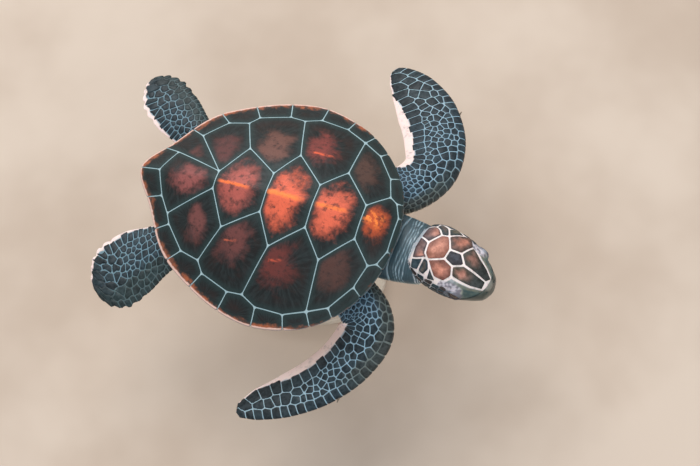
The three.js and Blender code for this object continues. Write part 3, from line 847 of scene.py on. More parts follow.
# Each plate's glow: middle, reach along and across, turn in degrees, colour and how strong it is.
GLOWS = {
    "vertebral_1": ((53, 3), 8.5, 11.5, 0, (196, 84, 44), 0.95),
    "vertebral_2": ((28, 0.5), 12.5, 20, -6, (226, 104, 76), 1.0),
    "vertebral_3": ((1, -1), 13.5, 21, -8, (228, 102, 72), 1.0),
    "vertebral_4": ((-26.5, -0.5), 14, 19, -8, (176, 88, 78), 1.0),
    "vertebral_5": ((-57.5, -2.5), 12.5, 11, 0, (152, 84, 80), 0.9),
    "costal_right_1": ((36.7, -29), 11.5, 13.5, -15, (98, 62, 54), 0.72),
    "costal_right_2": ((7.5, -36), 12.5, 15.5, -8, (128, 58, 52), 0.64),
    "costal_right_3": ((-19.5, -31), 10.5, 15, -8, (128, 72, 68), 0.68),
    "costal_right_4": ((-44.7, -25.5), 7.5, 11, 10, (128, 74, 70), 0.76),
    "costal_left_1": ((36.4, 32.6), 9, 15, 15, (100, 70, 60), 0.6),
    "costal_left_2": ((9.1, 37.2), 11, 14.5, 8, (142, 66, 60), 0.85),
    "costal_left_3": ((-16.9, 30.4), 12.5, 14.5, 8, (118, 78, 68), 0.86),
    "costal_left_4": ((-44.7, 22.4), 9, 13, 0, (104, 58, 56), 0.76),
    "costal_left_5": ((-60.7, 14.7), 5.5, 7, 0, (104, 60, 56), 0.7),
}
NO_GLOW = ((0, 0), 1, 1, 0, (60, 50, 48), 0)
# Each bright streak: from, to, half width and colour.
STREAKS = {
    "vertebral_1": ((46.5, 5), (57.5, 3.2), 3.4, (255, 138, 62)),
    "vertebral_2": ((19, 1), (37.5, 2.6), 1.25, (255, 128, 62)),
    "vertebral_3": ((-9.5, 0.3), (11.5, 0.8), 1.35, (255, 132, 62)),
    "vertebral_4": ((-39, -0.4), (-19, -0.7), 0.9, (250, 118, 58)),
    "costal_right_2": ((2, -35.4), (10, -33.4), 0.6, (196, 84, 60)),
    "costal_left_2": ((5.5, 33.2), (18, 34.4), 0.7, (232, 100, 66)),
    "costal_right_3": ((-26, -31), (-18, -30), 0.5, (190, 92, 66)),
}


PLATE_CORNER, PLATE_RINGS = 1.3, (0.09, 0.13, 0.2, 0.3)
PLATE_SHOULDER, PLATE_DROP = 0.6, 0.4
FAR_FROM_RIM = 30  # what the plates that never reach the rim say of their distance to it
FIRST_BLOTCH = 0.55  # how far dark blotches break up the foremost plate's streak


def growth_centre(name, outline):
    """Where a plate began to grow, towards the back and the middle line."""
    middle = sum(outline, Vector()) / len(outline)
    if name.startswith("vertebral"):
        rear, front = min(p.x for p in outline), max(p.x for p in outline)
        return Vector((rear + 0.28 * (front - rear), 0, 0))
    if name.startswith("costal"):
        return middle + Vector((-2, -0.12 * middle.y, 0))
    return middle


def shell_tile(whole, name, outline, gap, step):
    """Adds one plate to the whole, with what its material needs to know at each vertex."""
    bm, rim = tile(outline, gap, PLATE_CORNER, PLATE_RINGS, step)
    seam, edge, glow = (bm.verts.layers.float.new(key) for key in ("seam", "rim", "glow"))
    ray, streak = (bm.verts.layers.float_vector.new(key) for key in ("ray", "streak"))
    tint, streak_tint = (bm.verts.layers.float_color.new(key) for key in ("glow_tint", "streak_tint"))
    centre = growth_centre(name, outline)
    place, long, wide, turn, glow_colour, strength = GLOWS.get(name, NO_GLOW)
    lean = Matrix.Rotation(math.radians(-turn), 2)
    line = STREAKS.get(name)
    at_rim = name.startswith("marginal") or name in ("nuchal", "costal_left_5")
    spin = random.Random(name).uniform(0, 50)
    for vert in bm.verts:
        x, y, top = vert.co.x, vert.co.y, vert.co.z > 0.5
        flat = Vector((x, y, 0))
        away = flat - centre
        local = lean @ Vector((x - place[0], y - place[1]))
        inner = edge_distance(flat, rim)
        vert[seam] = inner
        if at_rim:
            worn = rim_distance(x, y) * (1 - 0.25 * smooth(-x / 50)) + 3 * smooth((x - 14) / 36)
            vert[edge] = worn if top else 0
        else:
            vert[edge] = FAR_FROM_RIM
        vert[glow] = 1 - math.hypot(local.x / long, local.y / wide) if strength else -3
        vert[tint] = (*srgb(*glow_colour), strength)
        way = away.normalized() if away.length > 0.01 else Vector((1, 0, 0))
        vert[ray] = (way.x * 9 + spin, way.y * 9, away.length * 0.16)
        if line:
            begin, end = Vector(line[0]), Vector(line[1])
            along = end - begin
            share = (Vector((x, y)) - begin).dot(along) / along.length_squared
            aside = (Vector((x, y)) - begin - along * share).length
            vert[streak] = (aside / line[2], share, FIRST_BLOTCH if name == "vertebral_1" else 0)
            vert[streak_tint] = (*srgb(*line[3]), 1)
        else:
            vert[streak] = (9, -9, 0)
            vert[streak_tint] = (0.2, 0.1, 0.05, 1)
        drop = PLATE_DROP * rounded_off(inner, PLATE_SHOULDER)
        vert.co = placed((x, y, shell_point(x, y, top, drop)))
    add_to(whole, bm)


def horn_material(settings):
    """Dark horn with a glow in each plate, rays from where it began to grow, and a warm rim."""
    paint = Paint("shell_horn", Specular_IOR_Level=0.28, Coat_Weight=0.04, Coat_Roughness=0.3)
    ray = paint.attribute("ray", "Vector")
    rays = paint.noise(1.0, 4, 0.62, vector=ray)
    fine = paint.noise(2.6, 3, 0.6, vector=ray)
    cloud = paint.noise(95, 4, 0.65)
    specks = paint.noise(420, 3, 0.6)
    dark = paint.blend(srgb(*settings.horn_dark), srgb(*settings.horn_light), paint.span(rays, 0.36, 0.7))
    seam = paint.attribute("seam")
    brown = paint.product(paint.span(cloud, 0.38, 0.66), 0.8, paint.span(seam, 1.5, 7.0))
    dark = paint.blend(dark, srgb(42, 27, 24), brown)
    dark = paint.blend(dark, srgb(34, 54, 54), paint.span(seam, 0.4, 4.0, 0.75, 0.0))
    patchy = paint.noise(210, 4, 0.6)
    warm = paint.attribute("glow_tint", "Color")
    for stain, marks, low, high, share in (
        ((66, 38, 32), fine, 0.5, 0.8, 0.5),
        ((64, 40, 36), patchy, 0.5, 0.66, 0.62),
        ((58, 34, 34), specks, 0.56, 0.74, 0.6),
    ):
        warm = paint.blend(warm, srgb(*stain), paint.product(paint.span(marks, low, high), share))
    near = paint.sum(paint.attribute("glow"), paint.sum(paint.sway(rays, 0.26), paint.sway(cloud, 1.5)))
    glow = paint.product(paint.span(near, -0.12, 0.72), paint.span(seam, 0.5, 3.4))
    colour = paint.blend(dark, warm, paint.product(glow, paint.attribute("glow_tint", "Alpha")))
    aside, along, blotch = paint.parts(paint.attribute("streak", "Vector"))
    holes = paint.product(blotch, paint.span(paint.noise(300, 3, 0.6), 0.42, 0.56, 1.8, 0.0))
    band = paint.product(
        paint.span(paint.sum(aside, paint.sway(specks, 2.2)), 0.2, 1.7, 1.0, 0.0),
        paint.product(paint.span(along, -0.06, 0.12), paint.span(along, 0.72, 1.08, 1.0, 0.0)),
        paint.span(cloud, 0.3, 0.5, 0.5, 1.0),
        paint.math("MAXIMUM", paint.math("SUBTRACT", 1.0, holes), 0.0),
    )
    colour = paint.blend(colour, paint.attribute("streak_tint", "Color"), band)
    edge = paint.attribute("rim")
    warm_rim = paint.span(paint.sum(edge, paint.sway(cloud, 9.0)), 0.8, 3.3, 0.9, 0.0)
    warm_rim = paint.product(warm_rim, paint.span(patchy, 0.4, 0.58, 0.15, 1.0))
    colour = paint.blend(colour, srgb(168, 92, 58), warm_rim)
    worn = paint.span(paint.sum(edge, paint.sway(specks, 1.2)), 0.75, 1.35, 0.95, 0.0)
    colour = paint.blend(colour, srgb(236, 196, 182), worn)
    colour = paint.blend(colour, srgb(84, 118, 126), paint.span(seam, 0.05, 0.35, 0.5, 0.0))
    paint.colour(colour)
    paint.roughness(paint.span(paint.noise(260, 4, 0.6), 0.3, 0.75, 0.44, 0.62))
    lines = paint.product(paint.math("SINE", paint.product(seam, 5.5)), paint.span(seam, 2.5, 6.0, 0.14, 0.0))
    paint.bump(paint.sum(fine, lines), 0.00016, 0.5)
    return paint.material


def seam_material():
    """The pale, softer horn in the seams between the plates."""
    paint = Paint("shell_seam", Roughness=0.55)
    paint.colour(paint.blend(srgb(134, 164, 172), srgb(186, 208, 212), paint.noise(160, 3)))
    paint.bump(paint.noise(900, 2), 0.0001, 0.5)
    return paint.material


def over_plan(share, turn, reach):
    """The point of the plan for a spot of a flattened ball, and whether that is on its upper side."""
    top = share <= 0.5
    out = min(1, math.sin((share if top else 1 - share) * math.pi / 2) / math.sin(math.pi / 4))
    return plan_point(math.degrees(turn), out * reach), top


def bed_ball():
    """The layer that the plates sit on, which shows in their seams."""
    def place(share, turn):
        point, top = over_plan(share, turn, BED_SHARE)
        inside = rim_distance(point.x, point.y)
        high = shell_point(point.x, point.y, True, 0) - 0.26
        if not top:
            high = shell_point(point.x, point.y, False, 0) + 0.3
            high = min(high, dome_height(point.x, point.y) - 1.35) if inside > 1.5 else high
        return placed((point.x, point.y, high))

    return wrapped_ball(144, 60, place)


# ---------- plastron ----------
PLASTRON_GAP, PLASTRON_CORNER, PLASTRON_RINGS, PLASTRON_STEP = 0.35, 1.0, (0.15, 0.3, 0.5), 2.2
PLASTRON_SHOULDER, PLASTRON_DROP = 0.8, 0.6
PLASTRON_HALF = [
    (46, 0), (43, 13), (33, 23), (24, 34), (17, 54), (-24, 50), (-31, 34), (-46, 23), (-62, 15), (-72, 0),
]
PLASTRON_SEAMS = [60, 37, 22.5, 2, -26, -49, -80]
BRIDGE_SEAMS = [60, 14, 2, -11, -60]
BRIDGE_Y = 33


def plastron_tiles():
    """The belly's plates: the outline of each half, cut along its seams."""
    outline = [Vector((x, y, 0)) for x, y in PLASTRON_HALF]
    for side in (1, -1):
        for seams, low, high in ((PLASTRON_SEAMS, 0, BRIDGE_Y), (BRIDGE_SEAMS, BRIDGE_Y, 90)):
            for front, back in zip(seams, seams[1:]):
                bm = bmesh.new()
                bm.faces.new([bm.verts.new((p.x, p.y * side, 0)) for p in outline])
                cut(bm, (front, 0, 0), (1, 0, 0), 1e-3)
                cut(bm, (back, 0, 0), (-1, 0, 0), 1e-3)
                cut(bm, (0, high * side, 0), (0, side, 0), 1e-3)
                cut(bm, (0, low * side, 0), (0, -side, 0), 1e-3)
                if bm.faces:
                    yield [vert.co.copy() for vert in max(bm.faces, key=lambda f: f.calc_area()).verts]
                bm.free()


def plastron_shape():
    whole = bmesh.new()
    for outline in plastron_tiles():
        bm, rim = tile(outline, PLASTRON_GAP, PLASTRON_CORNER, PLASTRON_RINGS, PLASTRON_STEP)
        for vert in bm.verts:
            x, y, under = vert.co.x, vert.co.y, vert.co.z > 0.5
            drop = PLASTRON_DROP * rounded_off(edge_distance(Vector((x, y, 0)), rim), PLASTRON_SHOULDER)
            high = belly_height(x, y)
            vert.co = placed((x, y, high - GAP - PLASTRON + drop if under else high + 0.4))
        outward(bm)
        add_to(whole, bm)
    return whole


def belly_material():
    paint = Paint("belly_horn", Coat_Weight=0.25, Coat_Roughness=0.25)
    cloud = paint.noise(70, 4, 0.6)
    paint.colour(paint.blend(srgb(236, 222, 192), srgb(214, 192, 152), paint.span(cloud, 0.42, 0.72)))
    paint.roughness(paint.span(cloud, 0.3, 0.7, 0.32, 0.48))
    paint.bump(paint.noise(300, 3, 0.6), 0.00015, 0.5)
    return paint.material


# ---------- colours of the skin and its scales ----------
SLATE, DEEP_SLATE, BLUE_SLATE = (16, 38, 49), (11, 28, 35), (34, 66, 88)
PALE_SEAM, PINK_MARGIN, CREAM = (134, 166, 184), (246, 222, 216), (230, 216, 196)
OLIVE = (50, 52, 46)


def blended(a, b, share):
    return tuple(mix(p, q, clamp(share)) for p, q in zip(a, b))


def limb_shades(name, limb, along, around):
    """The colours of the scales and of the skin between them, at a length and a way round a limb."""
    front = name.startswith("front")
    half = max(1, limb.half_girth(along))
    share = along / limb.length
    across_share = abs(around) / half
    margin = smooth((abs(around) - half + limb_margin(name, limb, along) + 0.5) / 0.8)
    margin *= smooth((share - 0.13) / 0.05) if front else 1
    elbow = smooth((0.3 - share) / 0.12) if front else smooth((0.4 - share) / 0.1)
    scale = blended(SLATE, DEEP_SLATE, smooth((share - 0.55) / 0.3))
    scale = blended(scale, BLUE_SLATE, 0.55 * elbow)
    seam = blended(PALE_SEAM, (108, 142, 164), elbow)
    seam = blended(seam, (148, 174, 186), smooth((share - 0.5) / 0.3))
    if front:
        leading = smooth((0.32 - across_share) / 0.14) * smooth((0.5 - 0.08 * limb.side - share) / 0.16)
        scale = blended(scale, OLIVE, 0.8 * leading)
        seam = blended(seam, (84, 92, 86), 0.85 * leading)
    else:
        leading = smooth((0.42 - across_share) / 0.16)
        scale = blended(scale, (26, 44, 42), 0.8 * leading)
        seam = blended(blended(seam, (84, 118, 132), 0.7), (58, 78, 78), 0.8 * leading)
        seam = blended(seam, scale, smooth((share - 0.86) / 0.06))
    if around < 0:
        pale = 1 - smooth((0.42 - abs(across_share - 0.46)) / 0.12) * smooth((share - 0.42) / 0.14)
        scale = blended(scale, CREAM, 0.86 * pale)
        seam = blended(seam, CREAM, 0.85)
    scale = blended(scale, PINK_MARGIN, margin)
    return scale, blended(seam, PINK_MARGIN, margin)


NECK_CREASE = 0.03  # from one crease of the neck to the next, as a share of its length
NECK_FOLDS = [(0.615, 0.045), (0.8, 0.03)]  # bundles of deep creases: middle and reach
BROAD_CREASE = 0.5


def neck_line(share, turn):
    """How deep in one of the pale creases of the neck a spot lies, 0 to 1."""
    spot = Vector((2.2 * math.cos(turn), 2.2 * math.sin(turn), 9 * share))
    along = share + 0.012 * math.sin(3 * turn + 1) + 0.024 * noise.noise(spot)
    depth = (0.5 + 0.5 * math.cos(2 * math.pi * (along - 0.44) / NECK_CREASE)) ** 3
    depth *= 0.55 + 0.45 * smooth(0.7 + 1.6 * noise.noise(spot * 2 + Vector((7, 3, 1))))
    fold = max(1 - smooth((abs(along - middle) - reach) / 0.02) for middle, reach in NECK_FOLDS)
    return max(depth * (0.12 + 0.88 * fold), 0.9 * (1 - smooth(abs(along - BROAD_CREASE) / 0.014)))


def neck_place(share, turn):
    return placed(round_point(NECK, share, turn, 0.1 - 0.4 * neck_line(share, turn)))


def neck_tint(share, turn):
    top = smooth((math.sin(turn) + 0.35) / 0.5)
    dark = blended((42, 68, 78), (84, 106, 116), smooth((share - 0.7) / 0.2))
    dark = blended(CREAM, dark, top)
    line = blended((172, 196, 208), (220, 222, 228), smooth((share - 0.6) / 0.2))
    return blended(dark, blended(CREAM, line, top), neck_line(share, turn))


def tail_tint(share, turn):
    return blended(CREAM, (52, 62, 68), smooth((math.sin(turn) + 0.3) / 0.5))


def trunk_place(share, turn):
    point, top = over_plan(share, turn, TRUNK_SHARE)
    high = dome_height(point.x, point.y) - PLATE - GAP if top else belly_height(point.x, point.y)
    return placed((point.x, point.y, high))


def trunk_tint(share, turn):
    return blended((46, 60, 68), CREAM, smooth((share - 0.5) / 0.05))


# ---------- the head's skin ----------
HEAD_GIRTH = 0.3  # millimetres across the head's flat layout for each degree round it
EYE_OPEN_LONG, EYE_OPEN_HIGH = 44, 24  # degrees of the ball that the lids leave open, either way
LID_RADIUS, SOCKET_RADIUS = 5.4, 4.5
LID_REACH = 12  # from an eye's centre, in millimetres, to where its lids end
FAR_OUTSIDE = -90  # what a spot behind an eye says of how far inside the opening of the lids it lies


def eye_axes(side):
    """An eye's centre in the head's frame, and its directions out, ahead and up."""
    axis = Vector((0.14, 0.95 * side, 0.3)).normalized()
    ahead = Vector((1, 0, -0.1))
    ahead = (ahead - axis * axis.dot(ahead)).normalized()
    up = axis.cross(ahead) * -side
    return Vector((EYE_PLACE.x, EYE_PLACE.y * side, EYE_PLACE.z)), axis, ahead, up


EYES = {name: eye_axes(side) for name, side in SIDES.items()}


def nearer_eye(point):
    return EYES["left" if point.y > 0 else "right"]


def eye_spot(point):
    """Where a point of the head lies round the nearer eye: distance, way, turn from its axis, and how far
    inside the opening of the lids, in degrees."""
    centre, axis, ahead, up = nearer_eye(point)
    out = point - centre
    way = out.normalized()
    facing = way.dot(axis)
    turn = math.degrees(math.acos(clamp(facing, -1, 1)))
    if facing < 0.15:
        return out.length, way, turn, FAR_OUTSIDE
    a = math.degrees(math.atan2(way.dot(ahead), facing))
    b = math.degrees(math.atan2(way.dot(up), facing)) + 3
    limit = EYE_OPEN_HIGH * max(0, 1 - (a / EYE_OPEN_LONG) ** 2) ** 0.75
    inside = limit - abs(b) if abs(a) < EYE_OPEN_LONG else -abs(b) - abs(a) + EYE_OPEN_LONG
    return out.length, way, turn, inside


def head_skin(x, turn):
    """A point of the head's skin in the head's frame, with lids, sockets, creases and the bed of the beak."""
    base = head_point(x, turn, -SCALE_DEPTH)
    horn = in_beak(base)
    if horn > -0.4:
        base = head_point(x, turn, -SCALE_DEPTH - 0.8 * smooth((horn + 0.4) / 0.7))
    distance, way, off, inside = eye_spot(base)
    if distance < LID_REACH and off < 85:
        centre = nearer_eye(base)[0]
        bulge = max(distance, LID_RADIUS + 0.35 * math.exp(-((inside + 2) / 5) ** 2))
        crease = 0.35 * math.exp(-(((inside + 17) / 4) ** 2)) * smooth((70 - off) / 12)
        reach = mix(distance, bulge, smooth((80 - off) / 20)) - crease
        reach = mix(reach, SOCKET_RADIUS, smooth(inside / 4.5))
        base = centre + way * reach
    corner = math.hypot((base.x - 4.6) / 3.2, (base.z + 5.3 + 0.08 * (base.x - 6)) / 0.6)
    if corner < 1 and abs(base.y) > 8:
        base.y -= math.copysign(0.5 * (1 - corner), base.y)
    return base


def head_row(share):
    """The place along the head for a share of its way."""
    place = clamp(share) * HEAD_STEPS
    start = min(HEAD_STEPS - 1, int(place))
    return mix(HEAD_PLACES[start], HEAD_PLACES[start + 1], place - start)


def at_pole(share):
    return share < 1e-4 or share > 1 - 1e-4


def head_pole(share, behind=0.0):
    """The middle of the nearer end of the head, or a spot behind it."""
    x, _, crown, chin = HEAD_TABLE[0 if share < 0.5 else -1]
    return Vector((x - behind, 0, (crown + chin) / 2))


def head_place(share, turn):
    if at_pole(share):
        return placed(HEAD_MATRIX @ head_pole(share, 0.2 if share < 0.5 else 0.8))
    return placed(HEAD_MATRIX @ head_skin(head_row(share), math.degrees(turn)))


# Corners of the head's shields: place along the head, and degrees round it, above zero to the left.
CORNERS = {
    "n1": (-5.7, -7), "n2": (-5.9, 9), "n3": (0.8, 14), "n4": (5.6, 0), "n5": (0.2, -11),
    "p1": (-10.6, 32), "p2": (-14.4, 26), "p3": (-18.4, 2), "p4": (-16.8, -16), "p5": (-13.6, -24),
    "q1": (4.2, 43), "q2": (-0.3, 74), "q3": (-4.1, 58),
    "r1": (2.8, -28), "r2": (0.4, -46), "r3": (-5.7, -48), "r4": (-12, -28),
    "t1": (20.3, 0), "t2": (20.8, -27), "t3": (14.5, -32),
    "u1": (22, 21), "u2": (16.3, 32), "u3": (10.9, 34),
    "a3": (-17.4, 40), "a4": (-20, 48), "a5": (-24, 43), "a6": (-24.2, 8),
    "b1": (-16, -25), "b2": (-22.1, -46), "b3": (-24, -18), "b6": (-15.4, -58), "b7": (-20.2, -72),
    "c1": (-9.9, -40), "c2": (-11.2, -60), "c3": (-3.3, -56), "c4": (-8.8, -64),
    "e1": (-13.4, 53), "e2": (-7.7, 44), "e3": (-9.5, 72), "e4": (-18.8, 66),
}
SALMON, CHESTNUT, NIGHT = (226, 152, 128), (150, 92, 74), (38, 50, 56)
# Each shield: its corners, the colour of its middle and of its edge.
SHIELDS = {
    "frontal": (("n1", "n2", "n3", "n4", "n5"), (66, 66, 76), (50, 46, 52)),
    "frontoparietal": (("n1", "n2", "p1", "p2", "p3", "p4", "p5"), SALMON, CHESTNUT),
    "supraocular_left": (("n2", "n3", "q1", "q2", "q3", "p1"), (198, 128, 106), (86, 66, 58)),
    "supraocular_right": (("n1", "n5", "r1", "r2", "r3", "r4", "p5"), (228, 150, 126), (132, 82, 68)),
    "prefrontal_right": (("n5", "n4", "t1", "t2", "t3", "r1"), (196, 134, 116), (78, 68, 56)),
    "prefrontal_left": (("n3", "n4", "t1", "u1", "u2", "u3", "q1"), (150, 104, 90), (66, 62, 54)),
    "parietal_left": (("p3", "p2", "a3", "a4", "a5", "a6"), (124, 92, 88), (84, 66, 68)),
    "parietal_right": (("p3", "p4", "p5", "b1", "b2", "b3", "a6"), (122, 92, 88), (76, 62, 66)),
    "temporal_right_1": (("p5", "r4", "c1", "c2", "b6", "b1"), (92, 84, 76), (38, 56, 64)),
    "temporal_right_2": (("b1", "b6", "b7", "b2"), (60, 78, 86), (38, 58, 68)),
    "temporal_right_3": (("r4", "r3", "c3", "c4", "c1"), (62, 68, 68), NIGHT),
    "temporal_left_1": (("p1", "e2", "q3", "e3", "e1"), (104, 96, 78), (52, 60, 58)),
    "temporal_left_2": (("p2", "p1", "e1", "e4", "a4", "a3"), (96, 82, 76), (50, 58, 60)),
}


def on_head(x, degrees):
    return Vector((x, degrees * HEAD_GIRTH, 0))


def shield_outline(corners):
    return [on_head(*CORNERS[corner]) for corner in corners]


SHIELD_OUTLINES = [shield_outline(corners) for corners, *_ in SHIELDS.values()]
LILAC, HEAD_SEAM, THROAT = (202, 196, 204), (244, 230, 226), (226, 214, 196)


def head_tint(share, turn):
    """The head's skin: pale seams on top, lilac lids, painted shade in dark teal on the cheeks round the
    mouth, and a cream throat.
    """
    x, degrees = head_row(share), math.degrees(turn)
    base = head_point(x, degrees, -SCALE_DEPTH)
    distance, _, off, inside = eye_spot(base)
    colour = blended(HEAD_SEAM, (204, 202, 206), smooth((abs(degrees) - 55) / 25))
    if -3 < x < 25 and 18 < abs(degrees) < 120:
        spot = on_head(x, degrees)
        bare = min(edge_distance(spot, outline) for outline in SHIELD_OUTLINES)
        cheek = smooth((bare - 0.9) / 0.7) * smooth((x + 2) / 4)
        olive = blended((164, 168, 172), (112, 114, 98), smooth((bare - 1.2) / 1.0) * smooth((x - 5) / 5))
        # painted shade: dark teal on the lower sides of the cheeks and jaw, ahead of the eyes and away from
        # the shields
        olive = blended(olive, (44, 76, 78), smooth((bare - 3.2) / 2.0) * smooth((x - 5) / 5))
        olive = blended(olive, (92, 106, 100), 0.5 * smooth(0.3 + 2 * noise.noise(base * 0.5)))
        colour = blended(colour, olive, cheek)
    colour = blended(colour, (184, 192, 200), smooth((-22.4 - x) / 1.6))
    colour = blended(colour, THROAT, smooth((abs(degrees) - 118) / 14))
    if distance < LID_REACH:
        lid = blended(LILAC, (140, 140, 124), smooth((x - 9) / 4))
        lid = blended(lid, (96, 110, 120), smooth((abs(degrees) - 58) / 12))
        lid = blended(lid, (96, 92, 104), 0.75 * smooth(0.2 + 2.4 * noise.noise(base * 0.62)))
        colour = blended(colour, lid, smooth((82 - off) / 10) * smooth((13.5 - x) / 2))
        colour = blended(colour, (92, 84, 88), smooth((inside + 5) / 4) * smooth((60 - off) / 10))
        colour = blended(colour, (20, 16, 16), smooth((inside - 0.5) / 2.5))
    return colour


# ---------- the one skin ----------
PATCHES = {
    "trunk": (0.01, 0.01, 0.39, 0.29),
    "neck": (0.41, 0.01, 0.59, 0.14),
    "tail": (0.41, 0.16, 0.59, 0.29),
    "head": (0.61, 0.01, 0.99, 0.29),
    "front_left": (0.01, 0.31, 0.49, 0.64),
    "front_right": (0.51, 0.31, 0.99, 0.64),
    "rear_left": (0.01, 0.66, 0.49, 0.99),
    "rear_right": (0.51, 0.66, 0.99, 0.99),
}


def on_patch(name, share, turn):
    """The spot of the skin's unwrap for a share of the way along one of its parts and a turn round it."""
    x0, y0, x1, y1 = PATCHES[name]
    return mix(x0, x1, (0.25 + turn / (2 * math.pi)) % 1), mix(y0, y1, 1 - clamp(share))


def limb_place(limb):
    return lambda share, turn: placed(limb.point(share, turn))


def limb_tint(name, limb):
    def tint(share, turn):
        row = round(clamp(share) * limb.STEPS)
        along, turns = limb.run[row], limb.turns[row]
        part = abs(turn) / math.pi * limb.TURNS
        step = min(limb.TURNS - 1, int(part))
        around = mix(turns[step], turns[step + 1], part - step)
        return limb_shades(name, limb, along, math.copysign(around, turn))[1]

    return tint


def skin_parts():
    """Each part of the skin: its columns and rows, where its points are, and their colours."""
    yield "trunk", 100, 44, trunk_place, trunk_tint
    yield "neck", 110, 100, neck_place, neck_tint
    yield "tail", 36, 40, lambda share, turn: placed(round_point(TAIL, share, turn)), tail_tint
    yield "head", 230, 150, head_place, head_tint
    for name, limb in LIMBS.items():
        rows = FRONT_LIMB_ROWS if name.startswith("front") else REAR_LIMB_ROWS
        yield name, LIMB_COLUMNS, rows, limb_place(limb), limb_tint(name, limb)


def joined(first, others):
    """One closed mesh from overlapping ones."""
    for other in others:
        modifier = first.modifiers.new("join", "BOOLEAN")
        modifier.operation = "UNION"
        modifier.solver = "EXACT"
        modifier.object = other
    graph = bpy.context.evaluated_depsgraph_get()
    mesh = bpy.data.meshes.new_from_object(first.evaluated_get(graph))
    for piece in (first, *others):
        used = piece.data
        bpy.data.objects.remove(piece)
        bpy.data.meshes.remove(used)
    return mesh


CREASE_REACH, CREASE_PASSES = 2.2, 10  # how far and how often the joins of the skin's parts are smoothed


def one_skin():
    """All parts of the skin as one closed mesh, softened where they meet, with the parts' colours."""
    places, tints, pieces = [], [], []
    for name, columns, rows, place, tint in skin_parts():
        spots = []

        def noted(share, turn, place=place, spots=spots):
            spots.append((share, turn))
            return place(share, turn)

        bm = wrapped_ball(columns, rows, noted, PATCHES[name])
        places += [vert.co.copy() for vert in bm.verts]
        tints += [(*srgb(*tint(share, turn)), 1) for share, turn in spots]
        pieces.append(added(name, turned_to_mesh(name, bm)))
    mesh = joined(pieces[0], pieces[1:])
    bm = bmesh.new()
    bm.from_mesh(mesh)
    bpy.data.meshes.remove(mesh)
    bmesh.ops.remove_doubles(bm, verts=bm.verts, dist=1e-6)
    tree = tree_of(places)
    creases = tree_of([vert.co.copy() for vert in bm.verts if tree.find(vert.co)[2] > 2e-6])
    soft = [vert for vert in bm.verts if creases.find(vert.co)[2] < CREASE_REACH * MM]
    for _ in range(CREASE_PASSES):
        bmesh.ops.smooth_vert(bm, verts=soft, factor=0.5, use_axis_x=True, use_axis_y=True, use_axis_z=True)
    layer = bm.verts.layers.float_color.new("tint")
    for vert in bm.verts:
        vert[layer] = tints[tree.find(vert.co)[1]]
    outward(bm)
    return bm


def skin_material():
    """Soft damp hide, with its colours held by the mesh, fine grain and shallow creases."""
    paint = Paint(
        "skin_hide", Roughness=0.5, Coat_Weight=0.12, Coat_Roughness=0.3, Subsurface_Weight=0.06,
        Subsurface_Scale=0.002,
    )
    tint = paint.attribute("tint", "Color")
    mottle = paint.noise(230, 4, 0.62)
    paint.colour(paint.blend(tint, paint.blend(tint, srgb(40, 46, 52), 0.5), paint.span(mottle, 0.5, 0.78)))
    grain = paint.span(paint.cracks(950), 0.0, 0.25)
    fine = paint.bump(grain, 0.00008, 0.6)
    paint.bump(paint.noise(420, 3, 0.6), 0.00016, 0.6, onto=fine)
    return paint.material


def scale_material():
    """Dark, smooth, slightly glossy scales, with their colours held by the mesh."""
    paint = Paint("skin_scales", Specular_IOR_Level=0.2, Coat_Weight=0.06, Coat_Roughness=0.25)
    tint = paint.attribute("tint", "Color")
    mottle = paint.noise(380, 4, 0.65)
    dark = paint.blend(tint, srgb(16, 20, 22), 0.4)
    light = paint.blend(tint, srgb(150, 160, 166), 0.07)
    paint.colour(paint.blend(light, dark, paint.span(mottle, 0.35, 0.68)))
    paint.roughness(paint.span(mottle, 0.3, 0.7, 0.34, 0.5))
    paint.bump(paint.noise(700, 3, 0.6), 0.0001, 0.6)
    return paint.material


# ---------- scales ----------
SEED_GRID = 6.0  # side of the squares that the seeds are sorted into, in millimetres
CROWDING = 0.93  # how near two seeds may come, as a share of their sizes' sum


def spread_seeds(seeds, sizes, inside, size_at, tries, rng, low, high):
    """Adds seeds at random where there is room, so that no two are nearer than their sizes allow."""
    grid = {}

    def square(point):
        return int(point.x // SEED_GRID), int(point.y // SEED_GRID)

    def room(point, size):
        column, row = square(point)
        for i in (-1, 0, 1):
            for j in (-1, 0, 1):
                for k in grid.get((column + i, row + j), ()):
                    if (seeds[k] - point).length < (sizes[k] + size) * CROWDING:
                        return False
        return True

    for k, seed in enumerate(seeds):
        grid.setdefault(square(seed), []).append(k)
    for _ in range(tries):
        point = Vector((rng.uniform(low[0], high[0]), rng.uniform(low[1], high[1]), 0))
        if not inside(point):
            continue
        size = size_at(point)
        if room(point, size):
            grid.setdefault(square(point), []).append(len(seeds))
            seeds.append(point)
            sizes.append(size)


NARROW_MARGIN = 1.2


def limb_margin(name, limb, along):
    """Width of the bare pale edge behind a limb."""
    share = along / limb.length
    if name.startswith("front"):
        broad = 6 if limb.side > 0 else 7.4
        width = mix(NARROW_MARGIN, broad, smooth((share - 0.18) / 0.1))
        return mix(width, NARROW_MARGIN, smooth((share - 0.68) / 0.24))
    return mix(NARROW_MARGIN, 2.4, smooth((share - 0.45) / 0.2))


# Lengths along the limbs where their scales start, and the bare length at their tips.
FRONT_SCALES_START, REAR_SCALES_START, BARE_TIP = 20, 14, 2
FRONT_TRIES, REAR_TRIES, HEAD_TRIES = 26000, 14000, 9000


